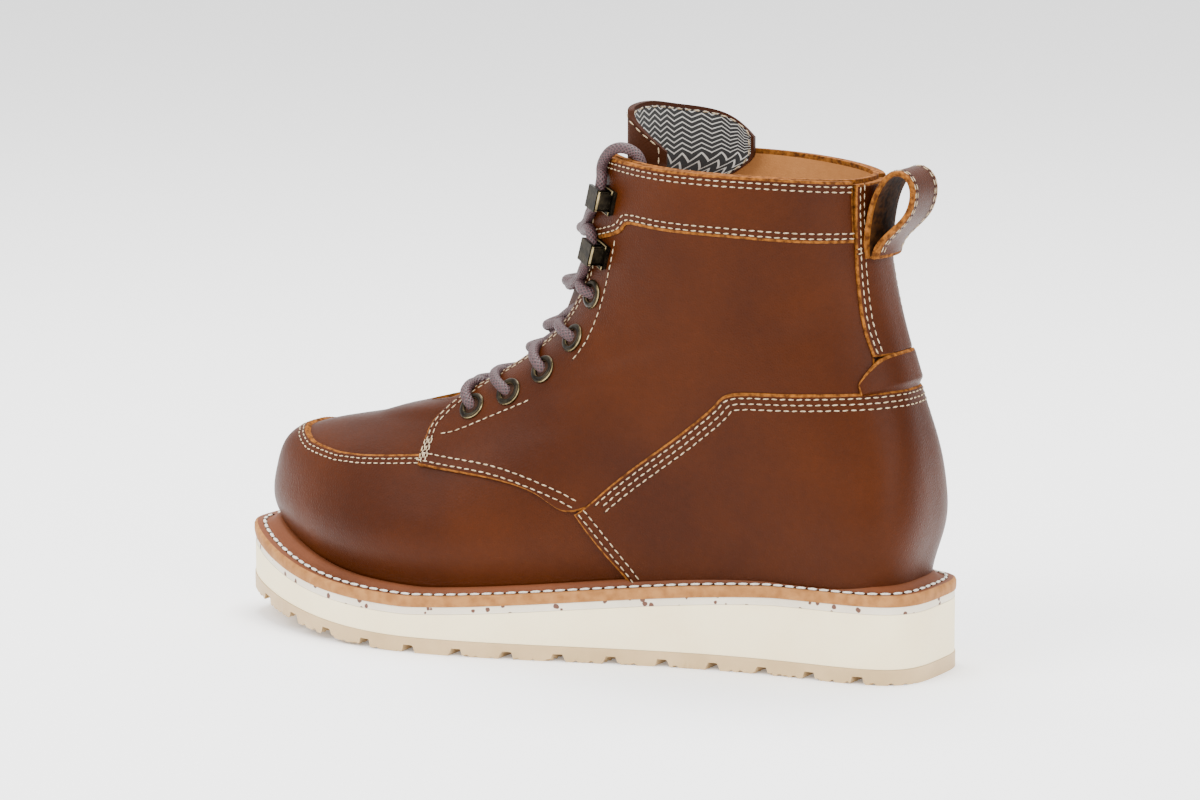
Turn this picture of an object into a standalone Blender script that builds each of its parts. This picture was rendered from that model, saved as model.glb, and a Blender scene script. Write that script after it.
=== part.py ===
"""A left wedge sole work boot: toe along +X, lateral side along +Y, up along +Z.

Every size below is in millimetres, and points are turned into metres where a mesh is made.
The leather follows one surface, skin(around, up): around runs from 0 at the heel's centre to 1
at the toe's centre on the lateral side and to -1 on the medial side, and up runs from 0 at the
lasting margin to 1 at the collar. Panels are strips of that surface, lifted along its normal.
"""

import bmesh
import bpy
import numpy as np

MM = 0.001
GAP = 0.4

HEEL_X = -153.0
TOE_X = 153.0

# Half widths of the sole at four stations along its length, and how round its two ends are
SOLE_STATIONS = (0.12, 0.42, 0.70, 0.92)
SOLE_WIDTHS = (40.5, 39.5, 56.0, 46.5)
SOLE_ROUND_BACK = 0.60
SOLE_ROUND_FRONT = 0.55

# Heights of the sole's layers
TREAD = 6.2
HEEL_WEDGE = 21.5
BALL_WEDGE = 9.0
TOE_WEDGE_GAIN = 4.0
SPECKLED = 2.9
WELT = 4.6
WELT_RIM = 2.6
TOE_SPRING = 11.5
SPRING_START_X = 50.0
WEDGE_FALL_X = (-95.0, 55.0)
WEDGE_GAIN_X = (90.0, 150.0)

# Lugs of the tread, and the plain bars across its middle under heel and ball
LUG = 3.0
LUG_PITCH = 20.5
LUG_GROOVE = 5.0
EDGE_LUG_FROM = 15.75
MIDDLE_GROOVE = 11.0
FIRST_GROOVE_X = -132.0
LAST_GROOVE_X = 138.0
LAST_MIDDLE_GROOVE_X = 123.0
PLAIN_BARS = ((-122.0, -80.0), (18.0, 54.0))
PAST_THE_EDGE = 75.0
UNDER_THE_FLOOR = -5.0

UPPER_WALL = 2.2
PLUG_DEPTH = 1.3
PANEL_INNER = 0.95
QUARTER_TOP = 2.1
COUNTER_TOP_LIFT = 2.3
BAND_TOP = 2.2
STRAP_TOP = 2.3
TAB_TOP = 3.4
TONGUE_OUTER = -2.9
TONGUE_INNER = -5.5
INSOLE = 5.0
LACE_RADIUS = 2.2

# The last's centre line in plan
CENTRE_X = (-160.0, -110.0, -50.0, 10.0, 70.0, 115.0, 155.0)
CENTRE_Y = (0.0, 0.0, 1.0, 2.0, 1.0, -3.0, -8.0)

# Columns: up, x_back, x_front, z_back, z_waist, z_ball, z_front,
# w_back, w_waist, w_ball, w_front, round_back, round_front
RINGS = np.array([
    (0.00, -140.0, 137.0, 31.0, 23.5, 18.5, 30.0, 31.0, 30.0, 45.5, 37.5, 0.60, 0.55),
    (0.04, -141.5, 139.0, 41.0, 32.0, 27.0, 38.0, 32.0, 30.5, 46.0, 38.0, 0.60, 0.55),
    (0.10, -145.0, 143.0, 54.0, 43.0, 38.0, 47.0, 35.0, 33.5, 50.5, 42.0, 0.60, 0.55),
    (0.20, -146.5, 142.0, 70.0, 60.0, 56.0, 62.0, 36.0, 35.0, 49.0, 41.0, 0.60, 0.55),
    (0.30, -145.0, 134.0, 86.0, 77.0, 72.0, 76.0, 35.0, 35.0, 42.0, 36.0, 0.60, 0.55),
    (0.40, -141.0, 111.0, 102.0, 94.0, 86.0, 84.0, 34.0, 35.0, 34.0, 26.5, 0.62, 0.60),
    (0.52, -135.5, 69.0, 121.0, 115.0, 105.0, 93.5, 33.0, 35.0, 30.0, 25.0, 0.66, 0.68),
    (0.66, -128.5, 25.5, 143.0, 139.0, 132.0, 115.0, 33.0, 36.0, 31.0, 16.5, 0.70, 0.80),
    (0.82, -123.5, 4.0, 168.0, 166.0, 164.0, 154.0, 35.0, 38.0, 34.0, 21.5, 0.75, 0.76),
    (1.00, -122.0, -7.5, 193.0, 196.0, 197.5, 200.0, 36.5, 40.0, 37.0, 23.0, 0.80, 0.78),
])
HEIGHT_STATIONS = (0.0, 0.42, 0.70, 1.0)
WIDTH_STATIONS = (0.12, 0.42, 0.70, 0.92)

# Lines on the skin, as rows of (around, up)
MOC_SEAM = ((0.60, 0.345), (0.66, 0.336), (0.73, 0.314), (0.77, 0.307), (0.84, 0.310), (0.93, 0.336),
            (1.00, 0.342))
COUNTER_EDGE = ((0.000, 0.462), (0.033, 0.462), (0.068, 0.461), (0.110, 0.459), (0.165, 0.458),
                (0.225, 0.459), (0.285, 0.464), (0.341, 0.469), (0.357, 0.445), (0.373, 0.408),
                (0.390, 0.373), (0.413, 0.329), (0.440, 0.273), (0.461, 0.222))
COUNTER_FOOT = (0.406, 0.060)
QUARTER_TOE = ((0.461, 0.222), (0.477, 0.202), (0.509, 0.241), (0.556, 0.279), (0.605, 0.296),
               (0.643, 0.305))
QUARTER_FRONT = ((0.643, 0.305), (0.652, 0.330), (0.662, 0.354), (0.678, 0.384), (0.701, 0.417),
                 (0.734, 0.462), (0.769, 0.505), (0.797, 0.546), (0.808, 0.583), (0.800, 0.630),
                 (0.775, 0.685), (0.760, 0.735), (0.750, 0.785), (0.774, 0.838))
QUARTER_COLLAR = ((0.105, 0.829), (0.260, 0.843), (0.405, 0.855), (0.535, 0.861), (0.630, 0.868),
                  (0.668, 0.848), (0.774, 0.838))
QUARTER_BACK = ((0.158, 0.468), (0.143, 0.500), (0.125, 0.535), (0.121, 0.580), (0.121, 0.650),
                (0.116, 0.710), (0.109, 0.790), (0.105, 0.829))
COLLAR_TOP = ((0.105, 0.995), (0.260, 0.998), (0.405, 1.000), (0.535, 1.000), (0.630, 0.998),
              (0.720, 0.995), (0.828, 0.990))
COLLAR_BACK = ((0.105, 0.842), (0.105, 0.920), (0.105, 0.995))
COLLAR_FRONT = ((0.774, 0.851), (0.812, 0.920), (0.828, 0.990))
STRAP_SIDE = ((0.104, 0.560), (0.112, 0.600), (0.112, 0.650), (0.107, 0.715), (0.100, 0.797),
              (0.095, 0.850), (0.092, 0.920), (0.090, 0.985))
TAB_EDGE = ((0.000, 0.549), (0.060, 0.546), (0.100, 0.532), (0.130, 0.505), (0.148, 0.478))
TAB_FOOT = (0.140, 0.470)

# The throat's edge: up, around
THROAT_UP = (0.515, 0.53, 0.56, 0.60, 0.66, 0.72, 0.78, 0.85, 0.92, 1.0)
THROAT_AROUND = (1.0, 0.84, 0.825, 0.815, 0.79, 0.77, 0.76, 0.792, 0.826, 0.838)
THROAT_FOOT = 0.52

# Rows of the upper's mesh; two of them hold the step of the moccasin seam
UPPER_ROWS = (0.0, 0.04, 0.10, 0.165, 0.24, 0.318, 0.330, 0.40, 0.46, 0.515, 0.545, 0.60, 0.66, 0.73,
              0.81, 0.90, 1.0)
SEAM_ROW = 0.318
THROAT_ROW = 0.515

# Eyelets and hooks of one side: around, up
EYELETS = ((0.692, 0.477), (0.670, 0.516), (0.664, 0.570), (0.673, 0.640), (0.697, 0.733))
HOOKS = ((0.703, 0.813), (0.715, 0.916))
EYELET_OUTER = 5.8
EYELET_INNER = 3.3
EYELET_THICK = 1.0
EYELET_SEAT = 0.9
HOOK_SEAT = 0.5
# The hook's outline as boxes that grow from its foot: half width round the boot, half height, lift
HOOK_STEPS = ((5.0, 4.6, 0.0), (5.0, 4.6, 1.0), (2.4, 3.6, 1.0), (2.4, 3.6, 6.2), (4.3, 4.5, 6.2),
              (4.3, 4.5, 8.0))
# Where two lengths of lace cross, how far each rises there, and the share of the throat that they span
CROSSINGS_UP = (0.566, 0.604, 0.650, 0.706, 0.780, 0.868)
CROSSING_RISE = 0.014
CROSSING_SPAN = 0.62
BAR_SEAT = 0.6
OVER_RAISED = 1.1

# The pull loop's middle line at the back of the collar: x, z
LOOP_LINE = ((-128.3, 163.0), (-127.8, 173.0), (-128.9, 184.0), (-131.6, 191.5), (-135.8, 195.8),
             (-140.6, 195.9), (-143.9, 192.3), (-144.4, 186.5), (-142.0, 180.0), (-137.3, 174.3),
             (-133.0, 169.0), (-131.3, 163.0))
LOOP_THICK = 2.2
LOOP_HALF_WIDTH = 12.5

# The tongue starts at up TONGUE_FOOT, spans TONGUE_REACH either side of the toe's centre line, and
# between TONGUE_LEAVES and TONGUE_FREE it parts from the skin, in its first TONGUE_HELD_ROWS share
TONGUE_FOOT = 0.44
TONGUE_REACH = 0.33
TONGUE_LEAVES = 0.885
TONGUE_FREE = 0.99
TONGUE_HELD_ROWS = 0.8
# The tongue above the collar, from its lateral to its medial edge: across, x, y, z_top
TONGUE_TOP = ((-1.0, -41.0, 14.0, 200.0), (-0.62, -27.0, 15.5, 212.0), (-0.25, -23.5, 10.0, 217.0),
              (0.05, -26.5, -1.0, 218.0), (0.35, -33.0, -13.0, 216.0), (0.70, -46.0, -28.5, 211.5),
              (1.0, -57.0, -33.5, 202.0))


def spline(xs, ys, x):
    """The smooth curve through the points (xs, ys), read at x."""
    xs = np.asarray(xs, float)
    ys = np.asarray(ys, float)
    x = np.asarray(x, float)
    count = len(xs)
    step = np.diff(xs)
    rise = np.diff(ys) / step
    ends = np.gradient(ys, xs, edge_order=2)
    matrix = np.eye(count)
    right = ends.copy()
    for i in range(1, count - 1):
        matrix[i, i - 1:i + 2] = step[i], 2 * (step[i - 1] + step[i]), step[i - 1]
        right[i] = 3 * (step[i] * rise[i - 1] + step[i - 1] * rise[i])
    slope = np.linalg.solve(matrix, right)
    i = np.clip(np.searchsorted(xs, x) - 1, 0, count - 2)
    t = (x - xs[i]) / step[i]
    start = ys[i] * (1 + 2 * t) * (1 - t) ** 2 + slope[i] * step[i] * t * (1 - t) ** 2
    end = ys[i + 1] * t * t * (3 - 2 * t) + slope[i + 1] * step[i] * t * t * (t - 1)
    return start + end


def through(stations, values, s):
    """The polynomial through one value at each station, read at s."""
    total = 0.0
    for i, value in enumerate(values):
        weight = 1.0
        for j, station in enumerate(stations):
            if j != i:
                weight = weight * (s - station) / (stations[i] - station)
        total = total + weight * value
    return total


def ease(t):
    """0 below 0, 1 above 1, smooth between."""
    t = np.clip(t, 0.0, 1.0)
    return t * t * (3 - 2 * t)


def share_between(x, limits):
    """0 at the first limit, 1 at the second, and no further."""
    return np.clip((x - limits[0]) / (limits[1] - limits[0]), 0.0, 1.0)


def centre_line(x):
    return spline(CENTRE_X, CENTRE_Y, x)


def ground(x):
    """The tread's lower face: flat from heel to ball, then the toe spring."""
    return TOE_SPRING * share_between(x, (SPRING_START_X, TOE_X)) ** 2


def wedge_height(x):
    """The wedge thins from heel to ball, straighter than a plain ease, and gains a little at the toe."""
    fall = share_between(x, WEDGE_FALL_X)
    fall = 0.35 * ease(fall) + 0.65 * fall
    gain = TOE_WEDGE_GAIN * share_between(x, WEDGE_GAIN_X) ** 2
    return HEEL_WEDGE + (BALL_WEDGE - HEEL_WEDGE) * fall + gain


def midsole_top(x):
    return ground(x) + TREAD + wedge_height(x) + SPECKLED


def sole_edge(around, inset=0.0):
    """x and y of the sole's outline, drawn in by inset."""
    angle = np.pi * np.abs(around)
    s = (1 - np.cos(angle)) / 2
    x = HEEL_X + inset + (TOE_X - HEEL_X - 2 * inset) * s
    width = through(SOLE_STATIONS, SOLE_WIDTHS, s) - inset
    power = SOLE_ROUND_BACK + (SOLE_ROUND_FRONT - SOLE_ROUND_BACK) * s
    return x, centre_line(x) + np.sign(around) * width * np.sin(angle).clip(0) ** power


def skin(around, up):
    """A point of the leather's surface, as an array of x, y, z."""
    around, up = np.broadcast_arrays(np.asarray(around, float), np.asarray(up, float))
    around = (around + 1) % 2 - 1
    columns = [spline(RINGS[:, 0], RINGS[:, k], up) for k in range(1, RINGS.shape[1])]
    x_back, x_front = columns[0:2]
    angle = np.pi * np.abs(around)
    s = (1 - np.cos(angle)) / 2
    x = x_back + (x_front - x_back) * s
    z = through(HEIGHT_STATIONS, columns[2:6], s)
    width = through(WIDTH_STATIONS, columns[6:10], s)
    power = columns[10] + (columns[11] - columns[10]) * s
    y = centre_line(x) + np.sign(around) * width * np.sin(angle).clip(0) ** power
    return np.stack([x, y, z], axis=-1)


def lifted(around, up, lift):
    """A point at a height of lift over the skin, along its outward normal."""
    step = 0.002
    along = skin(around + step, up) - skin(around - step, up)
    rise = skin(around, up + step) - skin(around, up - step)
    normal = np.cross(rise, along)
    normal = normal / np.linalg.norm(normal, axis=-1, keepdims=True)
    return skin(around, up) + normal * np.asarray(lift, float)[..., None]


def throat_edge(up):
    return np.interp(up, THROAT_UP, THROAT_AROUND)


def moc_seam(around):
    table = np.array(MOC_SEAM)
    return np.interp(np.abs(around), table[:, 0], table[:, 1])


def line_point(table, t):
    """A point of a line given as rows, where every row is the same step of t apart."""
    table = np.asarray(table, float)
    rows = np.arange(len(table)) / (len(table) - 1)
    return np.stack([np.interp(t, rows, table[:, k]) for k in range(table.shape[1])], axis=-1)


def between_lines(bottom, top, back, front, along, across):
    """The Coons patch of four lines that meet at their ends, read at along and across."""
    along = np.asarray(along)[..., None]
    across = np.asarray(across)[..., None]
    low, high = line_point(bottom, along[..., 0]), line_point(top, along[..., 0])
    left, right = line_point(back, across[..., 0]), line_point(front, across[..., 0])
    corners = (
        (1 - along) * (1 - across) * np.asarray(bottom[0]) + along * (1 - across) * np.asarray(bottom[-1])
        + (1 - along) * across * np.asarray(top[0]) + along * across * np.asarray(top[-1])
    )
    return (1 - across) * low + across * high + (1 - along) * left + along * right - corners


def side_shift():
    """Moves the boot across, so that the middle of its widest box lies on the X axis."""
    x, y = sole_edge(np.linspace(-1, 1, 801))
    return -(y.max() + y.min()) / 2


SIDE_SHIFT = side_shift()


def finish(name, colour, roughness, metallic=0.0):
    material = bpy.data.materials.new(name)
    material.use_nodes = True
    shader = material.node_tree.nodes["Principled BSDF"]
    shader.inputs["Base Color"].default_value = (*colour, 1.0)
    shader.inputs["Roughness"].default_value = roughness
    shader.inputs["Metallic"].default_value = metallic
    return material


def to_object(name, bm, points, material):
    """Moves the bmesh's vertices to points, closes its seams and makes it a scene object."""
    shift = np.array([0.0, SIDE_SHIFT, 0.0])
    for vertex, point in zip(bm.verts, (points + shift) * MM):
        vertex.co = point
    bmesh.ops.remove_doubles(bm, verts=bm.verts, dist=1e-6)
    bmesh.ops.dissolve_degenerate(bm, edges=bm.edges, dist=1e-7)
    bmesh.ops.recalc_face_normals(bm, faces=bm.faces)
    if bm.calc_volume(signed=True) < 0:
        bmesh.ops.reverse_faces(bm, faces=bm.faces)
    mesh = bpy.data.meshes.new(name)
    bm.to_mesh(mesh)
    bm.free()
    mesh.shade_smooth()
    mesh.set_sharp_from_angle(angle=0.7)
    mesh.materials.append(material)
    thing = bpy.data.objects.new(name, mesh)
    bpy.context.scene.collection.objects.link(thing)
    return thing


def parameters(bm):
    return np.array([tuple(vertex.co) for vertex in bm.verts])


def shell(name, columns, rows, place, material, joined_below=-1.0):
    """A closed sheet whose two faces are place(along, across, layer), each of the three from 0 to 1.

    Where across is under joined_below, its first and last column are the same, and have no wall.
    """
    bm = bmesh.new()
    bmesh.ops.create_grid(bm, x_segments=columns, y_segments=rows, size=0.5)
    bmesh.ops.translate(bm, verts=bm.verts, vec=(0.5, 0.5, 0.0))
    made = bmesh.ops.extrude_face_region(bm, geom=bm.faces[:] + bm.edges[:] + bm.verts[:], use_keep_orig=True)
    top = [piece for piece in made["geom"] if isinstance(piece, bmesh.types.BMVert)]
    bmesh.ops.translate(bm, verts=top, vec=(0.0, 0.0, 1.0))
    hidden = [
        face for face in bm.faces
        if abs(face.normal.x) > 0.5 and face.calc_center_median().y < joined_below
    ]
    bmesh.ops.delete(bm, geom=hidden, context="FACES_ONLY")
    along, across, layer = parameters(bm).T
    return to_object(name, bm, place(along, across, layer), material)


def ring(name, columns, rows, place, material):
    """A closed ring whose surface is place(along, across), both going once round."""
    bm = bmesh.new()
    bmesh.ops.create_grid(bm, x_segments=columns, y_segments=rows, size=0.5)
    bmesh.ops.translate(bm, verts=bm.verts, vec=(0.5, 0.5, 0.0))
    along, across, _ = parameters(bm).T
    return to_object(name, bm, place(along, across), material)


def plate(name, stations, edge, low, high, material):
    """A plate from heel to toe: edge(around) gives x and y, low(x) and high(x) its two faces."""
    def place(along, across, layer):
        x, lateral = edge(along)
        medial = edge(-along)[1]
        y = medial + (lateral - medial) * across
        return np.stack([x, y, np.where(layer > 0.5, high(x), low(x))], axis=-1)
    return shell(name, stations, 1, place, material)


def panel(name, columns, rows, lines, side, lift, material):
    """A panel on one side of the boot, between four lines of the skin: bottom, top, back, front."""
    def place(along, across, layer):
        spot = between_lines(*lines, along, across)
        return lifted(side * spot[:, 0], spot[:, 1], np.where(layer > 0.5, lift, PANEL_INNER))
    return shell(name, columns, rows, place, material)


def apply_boolean(target, tool, operation):
    """Joins or cuts target with tool, which then stays as a hidden guide."""
    change = target.modifiers.new(tool.name, "BOOLEAN")
    change.operation = operation
    change.object = tool
    change.solver = "EXACT"
    tool.hide_render = True
    tool.display_type = "WIRE"


def make_sole(rubber, cream, speckled, welt_leather):
    outsole = plate("outsole", 30, sole_edge, ground, lambda x: ground(x) + TREAD - GAP, rubber)
    cut_lugs(outsole, rubber)
    plate(
        "wedge_midsole", 30, lambda around: sole_edge(around, 0.3),
        lambda x: ground(x) + TREAD, lambda x: midsole_top(x) - SPECKLED - GAP, cream,
    )
    plate(
        "speckled_midsole", 30, lambda around: sole_edge(around, 0.5),
        lambda x: midsole_top(x) - SPECKLED, midsole_top, speckled,
    )
    make_welt(welt_leather)


def groove(name, x, y_from, y_to, width, material):
    """A straight cutter across the tread's lower face, LUG deep."""
    def place(along, across, layer):
        points_x = x + width * (along - 0.5)
        points_y = y_from + (y_to - y_from) * across
        height = np.where(layer > 0.5, ground(points_x) + LUG, UNDER_THE_FLOOR)
        return np.stack([points_x, points_y, height], axis=-1)
    return shell(name, 1, 1, place, material)


def cut_lugs(outsole, material):
    """Grooves across the tread, which leave lugs at both edges and a plain bar under heel and ball."""
    count = int((LAST_GROOVE_X - FIRST_GROOVE_X) / LUG_PITCH) + 1
    for i in range(count):
        x = FIRST_GROOVE_X + i * LUG_PITCH
        middle = centre_line(x)
        for side, name in ((-1, "medial"), (1, "lateral")):
            limits = sorted((middle + side * EDGE_LUG_FROM, side * PAST_THE_EDGE))
            tool = groove(f"groove_{name}_{i}", x, *limits, LUG_GROOVE, material)
            apply_boolean(outsole, tool, "DIFFERENCE")
        between = x + LUG_PITCH / 2
        plain = any(low < between < high for low, high in PLAIN_BARS)
        if not plain and between < LAST_MIDDLE_GROOVE_X:
            limits = (middle - MIDDLE_GROOVE, middle + MIDDLE_GROOVE)
            tool = groove(f"groove_middle_{i}", between, *limits, LUG_GROOVE, material)
            apply_boolean(outsole, tool, "DIFFERENCE")


def make_welt(material):
    """The strip welt: a flat ledge outside, and a low raised rim that hugs the upper."""
    def place(along, across):
        around = 2 * along - 1
        edge_x, edge_y = sole_edge(around)
        foot = lifted(around, np.full_like(around, 0.02), np.full_like(around, 1.1))
        hug = lifted(around, np.full_like(around, 0.045), np.full_like(around, 1.1))
        edge = np.stack([edge_x, edge_y], axis=-1)
        low = midsole_top(edge_x) + GAP
        ledge = midsole_top(edge_x) + WELT
        top = ledge + WELT_RIM
        # Columns: share of the way from the edge to the upper, height
        profile = ((0.0, low), (0.0, ledge - 0.5), (0.06, ledge), (0.62, ledge), (0.80, top),
                   (1.0, top - 0.3), (1.0, low))
        points = np.zeros((len(around), 3))
        place_in_row = np.rint(across * len(profile)).astype(int) % len(profile)
        for k, (share, height) in enumerate(profile):
            chosen = place_in_row == k
            inner = (foot if k == len(profile) - 1 else hug)[:, :2]
            spot = edge + (inner - edge) * share
            points[chosen] = np.column_stack([spot, height])[chosen]
        return points
    return ring("welt", 54, 7, place, material)


def make_insole(material):
    def edge(around):
        spot = lifted(around, np.full_like(around, 0.03), np.full_like(around, -UPPER_WALL - 1.9))
        return spot[:, 0], spot[:, 1]
    plate(
        "insole", 24, edge,
        lambda x: midsole_top(x) + GAP, lambda x: midsole_top(x) + GAP + INSOLE, material,
    )


def upper_spot(along, across):
    """around and up of a point of the upper's mesh, with its columns drawn back from the throat."""
    base = np.interp(across * (len(UPPER_ROWS) - 1), np.arange(len(UPPER_ROWS)), UPPER_ROWS)
    turn = 2 * along - 1
    edge = np.where(base > THROAT_FOOT, throat_edge(base), 1.0)
    far = np.abs(turn)
    around = np.sign(turn) * np.where(far > 0.5, 0.5 + (far - 0.5) * (edge - 0.5) / 0.5, far)
    near_seam = np.interp(base, (0.24, SEAM_ROW, 0.330, 0.46), (0, 1, 1, 0))
    near_toe = ease((np.abs(around) - 0.56) / 0.08)
    return around, base + (moc_seam(around) - SEAM_ROW) * near_seam * near_toe, base


def make_upper(material):
    """Vamp, moccasin plug and shaft in one hollow wall, open at the collar, the throat and underneath."""
    def place(along, across, layer):
        around, up, base = upper_spot(along, across)
        plug = ease((base - SEAM_ROW) / 0.012) * ease((np.abs(around) - 0.62) / 0.05)
        plug = plug * (1 - ease((base - 0.44) / 0.05))
        depth = PLUG_DEPTH * plug
        points = lifted(around, up, -depth - UPPER_WALL * (1 - layer))
        foot = base < 0.001
        points[foot, 2] = midsole_top(points[foot, 0]) + GAP
        return points
    joined_below = UPPER_ROWS.index(THROAT_ROW) / (len(UPPER_ROWS) - 1)
    shell("upper", 58, len(UPPER_ROWS) - 1, place, material, joined_below)


def mirrored(table):
    """A line that runs on across the heel's centre, from the medial side to the lateral."""
    half = [tuple(row) for row in table]
    return [(-around, up) for around, up in reversed(half)] + half[1:]


def drawn(table, around=0.0, up=0.0):
    return [(row[0] + around, row[1] + up) for row in table]


def make_overlays(leather):
    quarter_low = drawn(COUNTER_EDGE[4:], 0.004, 0.010) + drawn(QUARTER_TOE[1:])
    for side, name in ((1, "lateral"), (-1, "medial")):
        panel(
            f"quarter_{name}", len(quarter_low) - 1, 12,
            (resampled(quarter_low, QUARTER_BACK[0], QUARTER_FRONT[0]), QUARTER_COLLAR, QUARTER_BACK,
             QUARTER_FRONT), side, QUARTER_TOP, leather,
        )
        collar_low = drawn(QUARTER_COLLAR, 0.0, 0.013)
        panel(
            f"collar_band_{name}", 14, 2,
            (collar_low, COLLAR_TOP, COLLAR_BACK, COLLAR_FRONT), side, BAND_TOP, leather,
        )
    make_counter(leather)
    make_strap_and_tab(leather)


def resampled(table, first, last):
    """The same line with its two end points set, so that it meets its neighbours."""
    return [first] + list(table[1:-1]) + [last]


def make_counter(leather):
    """The outer counter: its columns fan from the welt up to its sloping top edge."""
    top = mirrored(COUNTER_EDGE)

    def place(along, across, layer):
        high = line_point(top, along)
        foot = COUNTER_FOOT[0] * (2 * along - 1)
        low = np.stack([foot, np.full_like(foot, COUNTER_FOOT[1])], axis=-1)
        spot = low + (high - low) * across[:, None]
        return lifted(spot[:, 0], spot[:, 1], np.where(layer > 0.5, COUNTER_TOP_LIFT, PANEL_INNER))
    shell("heel_counter", len(top) - 1, 6, place, leather)


def make_strap_and_tab(leather):
    def strap(along, across, layer):
        side = line_point(STRAP_SIDE, across)
        around = side[:, 0] * (2 * along - 1)
        return lifted(around, side[:, 1], np.where(layer > 0.5, STRAP_TOP, PANEL_INNER))
    shell("back_strap", 4, 9, strap, leather)

    def tab(along, across, layer):
        top = line_point(mirrored(TAB_EDGE), along)
        low = np.stack([TAB_FOOT[0] * (2 * along - 1), np.full_like(along, TAB_FOOT[1])], axis=-1)
        spot = low + (top - low) * across[:, None]
        return lifted(spot[:, 0], spot[:, 1], np.where(layer > 0.5, TAB_TOP, PANEL_INNER))
    shell("heel_tab", 8, 2, tab, leather)


def make_loop(leather):
    table = np.array(LOOP_LINE)
    rows = np.arange(len(table))

    def middle(t):
        place = t * (len(table) - 1)
        return np.stack([spline(rows, table[:, 0], place), spline(rows, table[:, 1], place)], axis=-1)

    def place(along, across, layer):
        spot = middle(along)
        run = middle(np.minimum(along + 0.01, 1.0)) - middle(np.maximum(along - 0.01, 0.0))
        run = run / np.linalg.norm(run, axis=-1, keepdims=True)
        thick = LOOP_THICK * (layer - 0.5)
        return np.stack([
            spot[:, 0] - run[:, 1] * thick,
            (2 * across - 1) * LOOP_HALF_WIDTH,
            spot[:, 1] + run[:, 0] * thick,
        ], axis=-1)
    shell("pull_loop", 30, 1, place, leather)


def make_tongue(leather):
    """Under the throat it follows the upper's inside, and above the collar it opens out by itself."""
    top = np.array(TONGUE_TOP)

    def place(along, across, layer):
        turn = 2 * along - 1
        up = TONGUE_FOOT + (TONGUE_FREE - TONGUE_FOOT) * np.minimum(across / TONGUE_HELD_ROWS, 1.0)
        depth = np.where(layer > 0.5, TONGUE_OUTER, TONGUE_INNER)
        depth = depth - PLUG_DEPTH * (1 - ease((up - 0.47) / 0.06))
        held = lifted(1.0 + TONGUE_REACH * turn, up, depth)
        return free_tongue(top, turn, up, across, layer, held)
    shell("tongue", 12, 15, place, leather)


def free_tongue(top, turn, up, across, layer, held):
    """Blends the held part of the tongue into its own curve in plan."""
    spread = [spline(top[:, 0], top[:, k], turn) for k in (1, 2, 3)]
    ahead = [spline(top[:, 0], top[:, k], np.minimum(turn + 0.02, 1.0)) for k in (1, 2)]
    behind = [spline(top[:, 0], top[:, k], np.maximum(turn - 0.02, -1.0)) for k in (1, 2)]
    run = np.stack([ahead[0] - behind[0], ahead[1] - behind[1]], axis=-1)
    run = run / np.linalg.norm(run, axis=-1, keepdims=True)
    thick = (TONGUE_OUTER - TONGUE_INNER) * (layer - 1.0)
    rise = share_between(across, (TONGUE_HELD_ROWS, 1.0))
    height = held[:, 2] + (spread[2] - held[:, 2]) * rise
    free = np.stack([spread[0] - run[:, 1] * thick, spread[1] + run[:, 0] * thick, height], axis=-1)
    share = ease(share_between(up, (TONGUE_LEAVES, TONGUE_FREE)))[:, None]
    return held + (free - held) * share


def local_frame(around, up, lift):
    """Centre, normal, direction round the boot and direction up it, at one spot over the skin."""
    one = np.array([around])
    high = np.array([up])
    centre = lifted(one, high, np.array([lift]))[0]
    normal = lifted(one, high, np.array([lift + 1.0]))[0] - centre
    rise = lifted(one, high + 0.004, np.array([lift]))[0] - centre
    rise = rise - normal * rise.dot(normal)
    rise = rise / np.linalg.norm(rise)
    return centre, normal, np.cross(normal, rise), rise


def make_eyelets(brass):
    number = 0
    for side in (1, -1):
        for around, up in EYELETS:
            number += 1
            centre, normal, across_way, rise = local_frame(side * around, up, QUARTER_TOP + EYELET_SEAT)

            def place(along, across, centre=centre, normal=normal, across_way=across_way, rise=rise):
                turn = 2 * np.pi * along
                section = 2 * np.pi * (across + 0.125)
                radius = (EYELET_OUTER + EYELET_INNER) / 2
                radius = radius + (EYELET_OUTER - EYELET_INNER) * 0.7 * np.cos(section)
                height = EYELET_THICK * 0.7 * np.sin(section)
                flat = np.outer(radius * np.cos(turn), across_way) + np.outer(radius * np.sin(turn), rise)
                return centre + flat + np.outer(height, normal)
            ring(f"eyelet_{number}", 8, 4, place, brass)


def make_hooks(brass):
    number = 0
    for side in (1, -1):
        for around, up in HOOKS:
            number += 1
            carrier = BAND_TOP if up > QUARTER_COLLAR[-2][1] else QUARTER_TOP
            centre, normal, across_way, rise = local_frame(side * around, up, carrier + HOOK_SEAT)
            bm = bmesh.new()
            bmesh.ops.create_grid(bm, x_segments=1, y_segments=1, size=1.0)
            face = bm.faces[:]
            layers = [bm.verts[:]]
            for _ in HOOK_STEPS[1:]:
                inner = face if len(layers) > 1 else []
                made = bmesh.ops.extrude_face_region(bm, geom=face)
                face = [piece for piece in made["geom"] if isinstance(piece, bmesh.types.BMFace)]
                layers.append([piece for piece in made["geom"] if isinstance(piece, bmesh.types.BMVert)])
                bmesh.ops.delete(bm, geom=inner, context="FACES_ONLY")
            bm.verts.index_update()
            points = np.zeros((len(bm.verts), 3))
            for (half_width, half_height, lift), verts in zip(HOOK_STEPS, layers):
                for vertex in verts:
                    flat = vertex.co.x * half_width * across_way + vertex.co.y * half_height * rise
                    points[vertex.index] = centre + flat + normal * lift
            to_object(f"lace_hook_{number}", bm, points, brass)


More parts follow.
